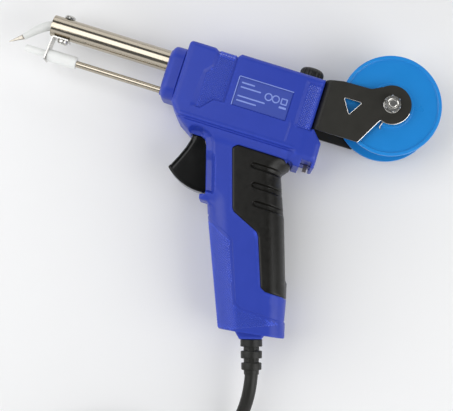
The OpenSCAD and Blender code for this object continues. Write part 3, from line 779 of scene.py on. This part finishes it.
HOUSING = [
    *BODY[:9], (102.8, -33, 0.7), (100.8, -33, 0.2),
    (100.8, -30.4, 0.1, 2.2),
    (94.5, -30.4, 0.1), (94.5, -34.8, 0.6), (91, -34.8, 0.6), (90.2, -34.0), (88.6, -35), (88.4, -37.0, 1),
    (84.8, -41.2, 3),
    (86.4, -45), (88.6, -51.5), (92.3, -61), (94.0, -65), (104.9, -98), (106.4, -100), (108.5, -107.4),
    (108.6, -108.3),
    (110.5, -108.3, 0.3), (113.0, -119.8, 0.3), (112.8, -120.7, 0.2), (114.0, -121.7, 0.5),
    (116.0, -129.8, 1.0),
    (104.7, -131.5, 0.3), (103.6, -134, 0.6), (91.5, -137.8, 1.2), (87.7, -134.2, 0.5), (78, -135.5, 1.2),
    (53.3, -76.3, 0.6), (53.7, -75.0, 0.3), (52.6, -74.6, 0.4), (50.6, -68.8, 1.2), (45.4, -68.6, 1.5),
    (44.8, -65.6, 0.8), (48.2, -64.9, 0.2, 7.75), (47.8, -63.2, 0, 7.75), (40.2, -37.6, 2.5, 7.75),
    (38.6, -34.8, 1.5, 7.75), (36.2, -33.7, 1.2, 7.75), (30.3, -33.7, 0.4), (29, -33.9, 1.2),
    *BODY[-2:],
]
# The bead along the body's lower edge: height above the side face at each y
BEAD = [(-28.4, -1.2), (-27.7, -1.6), (-27.1, -1.5), (-26.6, 0.05), (-26.2, 0.3), (-25.2, 0.28), (-24.6, 0)]


P_BODY, P_GRIP, P_HOOK, P_COLLAR = map(plain, (BODY, GRIP, HOOK, COLLAR))
P_FRONT, P_FRONT_FLOOR, P_REAR, P_REAR_FLOOR = map(plain, (FRONT_PANEL, FRONT_FLOOR, REAR_PANEL, REAR_FLOOR))
P_LABEL, P_LABEL_FLOOR, P_ZONE, P_ZONE_FLOOR = map(plain, (LABEL, LABEL_FLOOR, KNURL_ZONE, KNURL_FLOOR))
P_RUBBER, P_HOUSING = map(plain, (RUBBER, HOUSING))
P_SLOTS = [plain(s) for s in SLOTS]
# Sunk fields of the housing: depth, outer line, floor line
PITS = [(1.0, P_FRONT, P_FRONT_FLOOR), (0.8, P_REAR, P_REAR_FLOOR), (0.5, P_LABEL, P_LABEL_FLOOR),
        (0.55, P_ZONE, P_ZONE_FLOOR)]


def grip_height(P):
    d = depth_in(P, P_GRIP)
    z = 16 - fall(d, 10.5, 12.5) - 3 * np.maximum(0, -d)
    foot = P[:, 1] - (-135.5 + (P[:, 0] - 78) * 0.15)
    return np.where(foot < -0.02, z - 12 * ease(-foot / 0.3), z)


def housing_height(P, right=False):
    x, y = P[:, 0], P[:, 1]
    span = ease((x - 15.5) / 3) * (1 - ease((x - 86.5) / 2.5))
    body = 21.7 - fall(depth_in(P, P_BODY), 3) - 1.0 * ease((x - 91) / 11)
    step = np.interp(y, [p[0] for p in BEAD], [p[1] for p in BEAD])
    low = BEAD[0][1] + (y - BEAD[0][0]) * 0.92
    body = body + np.where(y < BEAD[0][0], low, step) * span - np.maximum(0, BEAD[0][0] - y) * 0.92 * (1 - span)
    z = soft_max(body, grip_height(P), 3.5)
    z = soft_max(z, 12.2 - fall(depth_in(P, P_HOOK), 1.8) + np.minimum(depth_in(P, P_HOOK), 0) * 8, 1.5)
    near = away(np.stack([x, np.where(y > -33.3, y + (y + 33.3) * 0.8, y)], 1), SLOT, False)[0]
    ledge = 9.8 + 3.4 * ease((y + 46) / 6) * ease((x - 35.5) / 2.5)
    cove = (ledge + 0.4 * np.minimum(near, 3.2) + 15 * ease((near - 3.2) / 5.0)
            + 10 * np.clip((-62.5 - y) / 3, 0, 1))
    z = soft_min(z, cove, 1.6)
    d = depth_in(P, P_COLLAR)
    z = np.maximum(z, np.where(d > -0.05, 9 - fall(d, 1.2), -9))
    for deep, outer, inner in PITS:
        z = z - deep * pit_share(P, outer, inner)
    z = z + 0.28 * ease(1 - np.abs(x - 82.6) / 0.6) * ease((y + 24.2) / 0.8) * (1 - ease((y + 12.2) / 0.8))
    under_rubber = depth_in(P, P_RUBBER)
    z = z - 2.0 * np.clip(under_rubber / 0.35, 0, 1)
    z = np.where((under_rubber > -0.7) & (x > 85) & (y < -33.5), np.minimum(z, grip_height(P) - 0.3), z)
    z = z - fall(depth_in(P, P_HOUSING), 0.8)
    if right:
        for sx, sy, seat in SCREWS:
            r = np.hypot(x - sx, y - sy)
            z = np.where(r < 3.5, np.minimum(z, seat + (z - seat) * np.clip((r - 3.3) / 0.2, 0, 1)), z)
    return np.maximum(z, 1.0)


# Screws of the hidden side: x, y, height of the seat
SCREWS = [(24, -22.6, 12), (34, 9.2, 12), (72, 9.2, 12), (97.3, -20.4, 9), (60.5, -77, 8), (104.5, -112.5, 8),
          (84, -123.5, 8)]


def inset(loop, d):
    """A closed outline drawn in by d, leaving out points that would fold over."""
    P = np.array([p[:2] for p in divided(loop, 1.1)])
    t = np.roll(P, -1, 0) - np.roll(P, 1, 0)
    t /= np.linalg.norm(t, axis=1)[:, None]
    q = P + np.stack([-t[:, 1], t[:, 0]], 1) * d
    if depth_in(q, P).mean() < 0:
        q = P - np.stack([-t[:, 1], t[:, 0]], 1) * d
    ok = depth_in(q, P) > 0.9 * d
    return [tuple(p) for p in q[ok]]


def make_housing():
    creases = [(p, True) for _, *pair in PITS for p in pair]
    lines = creases + [(inset(P_RUBBER, 0.35), True), (P_RUBBER, True)]
    lines += [([(x, -11.4), (x, -24.2)], False) for x in (82.0, 82.3, 82.6, 82.9, 83.2)]
    lines += [([(16, y), (90, y)], False) for y, _ in BEAD]
    for s in (0, -0.3):
        lines.append(([(86, -134.3 + s), (106, -131.3 + s)], False))
    dense = [(SLOT, 8.5, 0.8)]
    left = relief(HOUSING, housing_height, lines, grid=1.5, dense=dense)
    piece("housing_label_side", *left, "housing_blue", replaces=["left_housing"], creases=creases)
    wells = [(circle(x, y, r, 20), True) for x, y, _ in SCREWS for r in (3.3, 3.5)]
    right = mirrored(relief(HOUSING, lambda P: housing_height(P, True), lines + wells, grid=1.7, dense=dense))
    piece("housing_rest_side", *right, "housing_blue", replaces=["right_housing"], creases=creases)


def make_knurls():
    top = BODY[1:5]

    def front_place(uv):
        x, v = uv[:, 0], uv[:, 1]
        edge = np.interp(x, [p[0] for p in top], [p[1] for p in top]) - 3
        w = np.clip((v - edge) / 3, 0, math.pi / 2)
        past = np.maximum(v - edge - 1.5 * math.pi, 0)
        y = np.where(v < edge, v, edge + 3 * np.sin(w))
        z = np.where(v < edge, housing_height(np.stack([x, y], 1)), 18 + 3 * np.cos(w) - past)
        return np.stack([x, y, z], 1)

    def rear_place(uv):
        return np.stack([uv[:, 0], uv[:, 1], housing_height(uv)], 1)

    A = Vector((53.35, -76.35))
    along = (Vector((78, -135.5)) - A).normalized()
    inner = Vector((-along.y, along.x))
    table_d = np.concatenate([[0.03], np.geomspace(0.1, 10.5, 40), [60]])
    there = np.array([(A.x + along.x * 33 + inner.x * d, A.y + along.y * 33 + inner.y * d) for d in table_d])
    table_z = housing_height(there)
    table_z[-1] = table_z[-2]
    table_s = np.concatenate([[0], np.cumsum(np.hypot(np.diff(table_d), np.diff(table_z)))])

    def grip_place(uv):
        t, s = uv[:, 0], uv[:, 1]
        d = np.interp(s, table_s, table_d)
        x = A.x + along.x * t + inner.x * d
        y = A.y + along.y * t + inner.y * d
        return np.stack([x, y, housing_height(np.stack([x, y], 1))], 1)

    def grip_keep(P):
        return (depth_in(P, P_ZONE_FLOOR) > 0.5) & (depth_in(P, P_HOUSING) > -0.05) & (
            P[:, 1] > -135.3 + (P[:, 0] - 78) * 0.15)

    pitch = 0.78
    parts = [
        knurl(front_place, (28.4, 43.2), (-19.4, 30), pitch, lambda P: depth_in(P, P_FRONT_FLOOR) > -0.1),
        knurl(rear_place, (86.2, 94.4), (-13.6, 12.4), pitch,
              lambda P: depth_in(P, P_REAR_FLOOR) > -0.1, 0.36),
        knurl(grip_place, (0, 66), (2.0, 52), pitch, grip_keep, 0.42),
    ]
    both = join(*parts)
    piece("knurl_label_side", *both, "knurl_blue", slot="housing_blue", smooth=5, weighted=False)
    piece("knurl_rest_side", *mirrored(both), "knurl_blue", slot="housing_blue", smooth=5, weighted=False)


def rubber_height(P):
    z = grip_height(P) + 0.25 - fall(depth_in(P, P_RUBBER), 0.9)
    for s in P_SLOTS:
        z = z - 1.9 * ease((depth_in(P, s) + 0.1) / 0.9)
    return np.maximum(z, 1.0)


def make_rubber():
    lines = [(s, True) for s in P_SLOTS]
    dense = [(s + [s[0]], 1.6, 0.45) for s in P_SLOTS]
    part = relief(RUBBER, rubber_height, lines, grid=1.5, dense=dense)
    piece("rubber_label_side", *part, "grip_rubber", replaces=["left_grip_rubber"], smooth=50)
    piece("rubber_rest_side", *mirrored(part), "grip_rubber", replaces=["right_grip_rubber"], smooth=50)


# The trigger turns on PIVOT, and ARC is its finger side
PIVOT = (43.6, -34.7)
ARC = arc(PIVOT, 29.6, range(226, 285, 2))
TRIGGER = [(43.6, -30.6), (37, -32.6, 1), (30.6, -32.6, 0.8), (30.2, -37), (28.9, -41.8), (26.4, -48),
           (24.4, -52.2),
           (23.0, -55.4)] + ARC + [(47.6, -38, 1)]


def trigger_height(P):
    rim = away(P, ARC, False)[0]
    front = away(P, TRIGGER[2:8], False)[0]
    z = 6.4 - fall(front, 2.6) * (rim > 1.5)
    z = np.maximum(z, 7.1 - fall(rim, 0.8) - 6 * ease((rim - 1.35) / 0.55) - fall(front, 0.8))
    return np.maximum(z, 1.0)


def make_trigger():
    lines = [([(x * (1 - k) + PIVOT[0] * k, y * (1 - k) + PIVOT[1] * k) for x, y in ARC], False)
             for k in (0.027, 0.045, 0.064)]
    half = relief(TRIGGER, trigger_height, lines, step=0.8, grid=1.2, seam=0,
                  rings=(0.1, 0.25, 0.45, 0.8, 1.2, 1.7, 2.3, 3.0))
    hub = lathe([(2.08, -11.1), (4.6, -11.1), (4.8, -10.9), (4.8, 8.6), (4.6, 8.8), (2.08, 8.8),
                 (2.08, -11.1)], 48)
    pin = lathe([(0, -12.4), (1.7, -12.4), (2.0, -12.1), (2.0, 12.1), (1.7, 12.4), (0, 12.4)], 32)
    piece("trigger_pivot", *moved(pin, *PIVOT), "pin_steel", replaces=["trigger_pin"])
    piece("trigger_blade", *join(half, mirrored(half), moved(hub, *PIVOT)), "trigger_black", body="trigger",
          replaces=["trigger"], smooth=40, weld=2e-6)


BARREL_Y, FEED_Y = 4, -13.8


def make_nose():
    rings = []
    for x, cut in ((20.0, 1.4), (13.8, 1.4), (13.7, 0.35), (13.3, 0.0), (9.0, 0.0), (7.6, 0.1), (6.7, 0.55),
                   (5.9, 1.4),
                     (5.3, 2.6), (4.85, 4.2), (4.6, 6.0), (4.5, 8.0)):
        rings.append(rounded_box_ring(x, 15.85 - cut, 15.5 - cut, 8.5 - 0.7 * min(cut, 6), (-3.35, 0.0), 8))
    shell = loft(rings[::-1])
    collars = [bar(7.1, 4.2, 5.2, BARREL_Y, bore=6.3, edge=0.25),
               bar(2.7, 4.2, 5.2, FEED_Y, bore=1.95, edge=0.2)]
    piece("nose_cover", *join(shell, *collars), "housing_blue", replaces=["nose_cap"], smooth=30)


def make_barrel():
    edge = 0.22
    profile = [(5.7, 26), (6.3, 26), (6.3, -67.5 + edge), (6.3 - edge * 0.6, -67.5), (5.7 + edge * 0.4, -67.5),
               (5.7, -67.5 + edge), (5.7, 26)]
    piece("barrel_shell", *lying(lathe(profile, 96), BARREL_Y), "polished_steel", replaces=["barrel_tube"])
    pipe = lathe([(0.9, 39.5), (1.95, 39.5), (1.95, -55.8), (1.8, -56), (0.9, -56), (0.9, 39.5)], 48)
    piece("feed_pipe", *lying(pipe, FEED_Y), "polished_steel", replaces=["feed_tube"])
    sleeve = lathe([(2.1, -65.3), (3.2, -65.3), (3.5, -65.1), (3.62, -64.7), (3.68, -60), (3.62, -49.5),
                    (3.5, -48.4),
                    (3.5, -48.0), (3.3, -47.6), (1.96, -47.5), (2.1, -65.3)], 64)
    piece("nozzle_cover", *lying(sleeve, -13.5), "white_ceramic", replaces=["nozzle_sleeve"])
    liner = lathe([(0.9, -56.1), (2.1, -56.1), (2.1, -78.2), (1.95, -78.7), (1.6, -79), (1.1, -79),
                   (0.9, -78.8),
                   (0.9, -56.1)], 48)
    piece("nozzle_inner", *lying(liner, -13.4), "white_ceramic", replaces=["nozzle_liner"])


def make_tip():
    path = [(-21, 4), (-60, 4), (-66.5, 3.9), (-68.2, 3.4), (-71, 2.2), (-74.8, -0.6), (-78.2, -3.8),
            (-81.9, -7.7)]
    radii = [2.8, 2.8, 2.85, 2.9, 2.8, 2.55, 2.25, 1.85]
    fine = smooth_path([(x, y, 0) for x, y in path], 1.0)
    rad = [float(np.interp(-p.x, [-q[0] for q in path], radii)) for p in fine]
    fine += [fine[-1] + (fine[-1] - fine[-2]).normalized() * 0.15]
    rad += [1.5]
    v, f = tube(fine, rad, 40)
    piece("tip_shank", v, f, "tip_plating", replaces=["soldering_tip"])
    end, start = Vector((-89.4, -13.0, 0)), Vector((-81.3, -7.1, 0))
    d = (end - start).normalized()
    rings = []
    for t, r in ((0, 1.5), (1.0, 1.52), (1.6, 1.42), (9.2, 0.32), (9.75, 0.2), (9.95, 0.08)):
        c = start + d * t
        side = d.cross(Vector((0, 0, 1)))
        ring = []
        for k in range(40):
            w = 2 * math.pi * k / 40
            lim = r * (0.62 if t > 1.2 else 1.0)
            a = max(-lim, min(lim, r * math.sin(w)))
            ring.append(tuple(c + side * (r * math.cos(w)) + Vector((0, 0, a))))
        rings.append(ring)
    piece("tip_point", *loft(rings), "bare_point", slot="tip_plating", smooth=25)


def screw_head(r, tall):
    """A pan head with a cross recess."""
    def height(P):
        d = r - np.hypot(P[:, 0], P[:, 1])
        c = np.minimum(np.abs(P[:, 0]), np.abs(P[:, 1]))
        far = np.maximum(np.abs(P[:, 0]), np.abs(P[:, 1]))
        z = tall - fall(d, r * 0.75, tall * 0.6)
        return np.maximum(z - 0.9 * (1 - ease((c - 0.28) / 0.16)) * (1 - ease((far - r * 0.55) / 0.4)), 0.12)
    return relief(circle(0, 0, r, 40), height, step=0.3, rings=(0.1, 0.25, 0.5, 0.8), grid=0.28, seam=0)


def screw(r, tall, deep, top, segs, place, axis, along):
    shank = lathe([(0, -deep), (1.5, -deep), (1.5, top), (0, top)], segs)
    return join(turned(screw_head(r, tall), place, axis, along), turned(shank, place, axis))


def make_screws():
    piece("tip_screws", *join(
        screw(3.1, 2.2, 1.2, 0.2, 24, (-59.2, 10.3, 0), (0, 1, 0), (0.7, 0, 0.7)),
        screw(3.1, 2.2, 3.5, 0.2, 24, (-59.2, -3.3, 0), (0, -1, 0), (0.9, 0, 0.4))),
        "zinc_steel", replaces=["barrel_screws"])
    piece("shell_screws", *join(*[screw(3.0, 1.8, 9, 0.1, 20, (x, y, -seat), (0, 0, -1), (1, 0.3, 0))
                                  for x, y, seat in SCREWS]), "zinc_steel", replaces=["housing_screws"])
    rings = []
    outer = [(-55.5, -2.3, 0), (-64.6, -2.3, 0), (-65.3, -2.9, 0), (-65.6, -6, 0), (-66.1, -14, 0),
             (-66.3, -16.6, 0), (-66.0, -17.4, 0), (-65.0, -17.8, 0)]
    wide = [4.6, 4.6, 4.6, 4.4, 4.4, 4.3, 4.0, 3.2]
    thick = 0.9
    for i, (p, w) in enumerate(zip(map(Vector, outer), wide)):
        a, b = Vector(outer[max(i - 1, 0)]), Vector(outer[min(i + 1, len(outer) - 1)])
        t = (b - a).normalized()
        n = Vector((t.y, -t.x, 0)) * -1
        rings.append([p + n * thick * s + Vector((0, 0, q)) for s, q in ((0, -w), (0, w), (1, w), (1, -w))])
    piece("nozzle_strap", *loft(rings), "zinc_steel", replaces=["nozzle_bracket"], bevel=0.15, smooth=45)


# ---------------------------------------------------------------- reel and bracket

AXLE = (134.4, 15.1)
ARM = [
    (98.0, 18.5), (99.5, 18.9), (104.3, 19.8), (120.9, 20.3, 6), (126.4, 23.3, 5)
] + arc(AXLE, 11.2, range(134, -95, -6)) + [
    (130.6, 4.9, 1.0), (121.9, -11.2, 0.8), (98.0, -11.4)]
WINDOW = [(107.2, 11, 0.5), (117.9, 11, 0.5), (112.6, 2.2, 0.5)]


def at_axle(part):
    return moved(part, *AXLE)


def make_bracket():
    arm = plate([plain(ARM), plain(WINDOW), circle(*AXLE, 2.55, 32)], 15.2, 17.0, 0.22)
    parts = [arm, mirrored(arm)]
    big, small, lowest = 3.4, 1.6, -11.4
    for s in (1, -1):
        rings = []
        for k in range(9):
            w = math.radians(90 * k / 8)
            top = 17.0 + (18.5 - 17.0) * (k / 8) ** 0.7
            section = ((big, top - 0.2), (big, lowest + 0.2), (big - 0.2, lowest), (small + 0.2, lowest),
                       (small, lowest + 0.2), (small, top - 0.2), (small + 0.2, top), (big - 0.2, top))
            rings.append([(98.0 - r * math.cos(w), y, s * (13.6 + r * math.sin(w))) for r, y in section])
        parts.append(loft(rings, False))
    web = plate([plain(box_loop(-13.6, -11.4, 13.6, 17.0))], 0, 1.8, 0.2)
    parts.append(([(96.4 - c, b, a) for a, b, c in web[0]], web[1]))
    tab = plate([plain([(79.5, -8, 2.5), (95.2, -8), (95.2, 8), (79.5, 8, 2.5)]), circle(86, 0, 2.8, 24)],
                16.9, 18.4, 0.2)
    parts.append(([(a, c, -b) for a, b, c in tab[0]], tab[1]))
    corner = ((0.0, 16.8), (0.2, 17.6), (0.6, 18.4), (-0.2, 18.4), (-0.2, 16.9))
    bend = [[(94.6 + q, y, z) for q, y in corner] for z in (-8, 8)]
    parts.append(loft(bend))
    piece("fork_bracket", *join(*parts), "bracket_black", replaces=["reel_bracket"], smooth=30)
    # Thin bright tubes along the arms' lower edges and round the windows: painted highlights of light caught by
    # the black painted edges.
    low_edge = [p for p in plain(ARM) if p[1] < AXLE[1] - 1 and p[0] >= 98.2]
    window = plain(WINDOW)
    rim = []
    for s in (1, -1):
        rim.append(tube([(x, y - 0.02, s * 16.72) for x, y in low_edge], 0.26, 8))
        rim.append(tube([(x, y, s * 16.88) for x, y in window + window[:1]], 0.14, 8))
    piece("bracket_edge_highlight", *join(*rim), "cut_edge", slot="bracket_black")
    # A bright tube along the tab's edge: a painted highlight.
    piece("tab_edge_highlight", *tube([(80.5, 17.6, 7.9), (95.0, 17.6, 7.9)], 0.35, 8), "cut_edge", slot="bracket_black")


def make_knob():
    def grip_edge(r, z, a):
        if r < 6.2:
            return r
        return r - 0.42 * max(0.0, math.cos(20 * a)) ** 0.7
    profile = [(0, 0), (6.7, 0), (7.0, 0.5), (7.0, 3.4), (6.85, 4.3), (6.3, 5.2), (5.4, 5.9), (4.2, 6.3),
               (4.0, 6.2),
               (3.7, 5.9), (2.5, 5.8), (0, 5.8)]
    cap = turned(lathe(profile, 160, grip_edge), (86, 18.5, 0), (0, 1, 0), (1, 0, 0))
    piece("knob_cap", *cap, "knob_black", body="knob", replaces=["bracket_knob"], smooth=35)


def hex_ring(r, z, a):
    w = (a + math.radians(12)) % (math.pi / 3) - math.pi / 6
    return min(r, 4.4 / math.cos(w))


def make_axle():
    nut = lathe([(2.45, 18.0), (4.4, 18.0), (5.1, 18.35), (5.1, 20.7), (4.4, 21.3), (3.1, 21.4), (2.6, 21.1),
                 (2.45, 20.8),
                 (2.45, 18.0)], 144, hex_ring)
    piece("axle_nut_shape", *at_axle(nut), "zinc_steel", replaces=["axle_nut"], smooth=25)
    thread = []
    z = 17.2
    while z < 21.0:
        thread += [(2.5, z), (2.25, z + 0.35)]
        z += 0.7
    bolt = lathe([(0, 21.6), (1.9, 21.6), (2.3, 21.3)] + thread[::-1] + [(2.5, 17), (2.5, -18), (0, -18)], 48)
    head = lathe([(0, -21.2), (3.6, -21.2), (4.4, -20.9), (5.1, -20.5), (5.1, -18.2), (4.6, -18),
                  (0, -18)], 144, hex_ring)
    piece("axle_bolt_shape", *at_axle(join(bolt, head)), "zinc_steel", replaces=["axle_bolt"], smooth=28)
    rings = []
    r = 5.0
    for z0, z1 in ((17.0, 18.0), (-18.0, -17.0), (14.15, 15.2), (-15.2, -14.15)):
        rings.append(lathe([(2.55, z0), (r - 0.2, z0), (r, z0 + 0.2), (r, z1 - 0.2), (r - 0.2, z1),
                            (2.55, z1), (2.55, z0)], 64))
    piece("washers", *at_axle(join(*rings)), "zinc_steel", replaces=["axle_washers"])


def make_reel():
    def side(s):
        return [(a, s * b) for a, b in (
            (2.58, 14.0), (12.2, 14.0), (12.7, 13.85), (13.0, 13.3), (13.4, 13.2), (26.3, 13.2), (26.7, 13.35),
            (26.9, 13.75), (27.3, 14.0), (28.6, 14.0), (28.9, 13.85), (29.0, 13.5), (29.0, 12.5), (28.85, 12.1),
            (28.5, 12.0), (8.2, 12.0), (8.0, 11.8))]
    profile = side(1) + side(-1)[::-1] + [(2.58, 14.0)]
    piece("reel_spool", *at_axle(lathe(profile, 160)), "reel_blue", body="reel", replaces=["solder_reel"],
          smooth=32)
    rows = [(8.0, -12.0), (19.2, -12.0)]
    z = -12.0
    while z < 11.9:
        for k in range(6):
            w = math.pi * k / 6
            rows.append((19.4 + 0.6 * math.sin(w), z + 0.5 - 0.5 * math.cos(w)))
        z += 1.0
    rows += [(19.2, 12.0), (8.0, 12.0), (8.0, -12.0)]
    piece("solder_turns", *at_axle(lathe(rows, 96)), "solder", body="reel", replaces=["solder_winding"],
          smooth=60)
    stub = smooth_path([(133.0, 8.0, 14.5), (132.4, 4.6, 14.55), (131.6, 1.9, 14.6), (132.0, 0.3, 14.55)], 0.4)
    piece("solder_end", *tube(stub, 0.45, 10), "solder", body="reel")


def make_label():
    face = 21.5

    def mark(*loops):
        return plate(loops, face - 0.05, face + 0.14, 0.06)

    base = plate([plain(box_loop(47.8, -12.5, 78.9, 3.7, 0.5))], face - 0.4, face, 0.1)
    piece("label_panel", *base, "label_print", replaces=["label_plate"])
    # Thin tubes along the label's top and left edges: painted highlights of light caught by those edges.
    parts = [tube([(*a, 21.68), (*b, 21.68)], 0.3, 8)
             for a, b in (((47.35, 4.2), (79.3, 4.2)), ((47.3, 4.1), (47.3, -12.9)))]
    # Raised lettering bars, rings and boxes; their lighter blue is a painted highlight on the raised lettering.
    parts += [mark(plain(box_loop(x0, y - 0.42, x1, y + 0.42, 0.4)))
              for x0, x1, y in ((49.4, 57.2, 1.0), (49.4, 61.5, -1.6), (49.2, 65.3, -6.8), (49.2, 61.0, -9.4))]
    parts += [mark(circle(x, -2.6, 2.3, 32), circle(x, -2.6, 1.6, 32)) for x in (66.3, 70.6)]
    parts.append(mark(plain(box_loop(73.6, -4.6, 77.4, -0.8, 0.3)),
                      plain(box_loop(74.3, -3.9, 76.7, -1.5, 0.2))))
    parts.append(mark(plain(box_loop(73.4, -6.9, 77.7, -5.7, 0.4))))
    piece("label_lettering_and_highlights", *join(*parts), "print_light", slot="label_print")


def dress_cad():
    slots = {s["node"]: s["material_slot"] for s in frame["record"]["subparts"]}
    for name, o in frame["nodes"].items():
        o.data.materials.clear()
        o.data.materials.append(MAT[slots[name]])


def make_set():
    half = 2.2
    z = (BASE.z * 1000 + FLOOR) / 1000 - 0.0003
    mesh = bpy.data.meshes.new("floor")
    corners = [(-half, -half, z), (half, -half, z), (half, half, z), (-half, half, z)]
    mesh.from_pydata(corners, [], [(0, 1, 2, 3)])
    mesh.materials.append(MAT["floor_paper"])
    floor = add("floor", mesh)
    world = bpy.data.worlds.new("studio")
    world.use_nodes = True
    sky = world.node_tree.nodes["Background"].inputs
    sky["Color"].default_value = (0.92, 0.95, 1.0, 1)
    sky["Strength"].default_value = 0.14
    bpy.context.scene.world = world
    area_light("left_box", (-470, -140, 400), (40, -50, 0), (0.5, 0.7), 2.6)
    area_light("right_box", (640, -160, 400), (60, -60, 0), (0.5, 0.7), 3.2)
    area_light("far_box", (40, 650, 260), (50, -60, 0), (1.6, 0.5), 2.6)
    area_light("near_box", (100, -750, 260), (50, -60, 0), (1.6, 0.5), 2.1)
    area_light("main_box", (-145, 15, 640), (-145, 15, 0), (0.2, 0.5), 0.75)
    scene = bpy.context.scene
    scene.view_settings.view_transform = "Standard"
    scene.view_settings.look = "None"
    scene.view_settings.exposure = 0.0


make_housing()
make_knurls()
make_rubber()
make_trigger()
make_nose()
make_barrel()
make_tip()
make_screws()
make_bracket()
make_knob()
make_axle()
make_reel()
make_label()
dress_cad()
make_set()
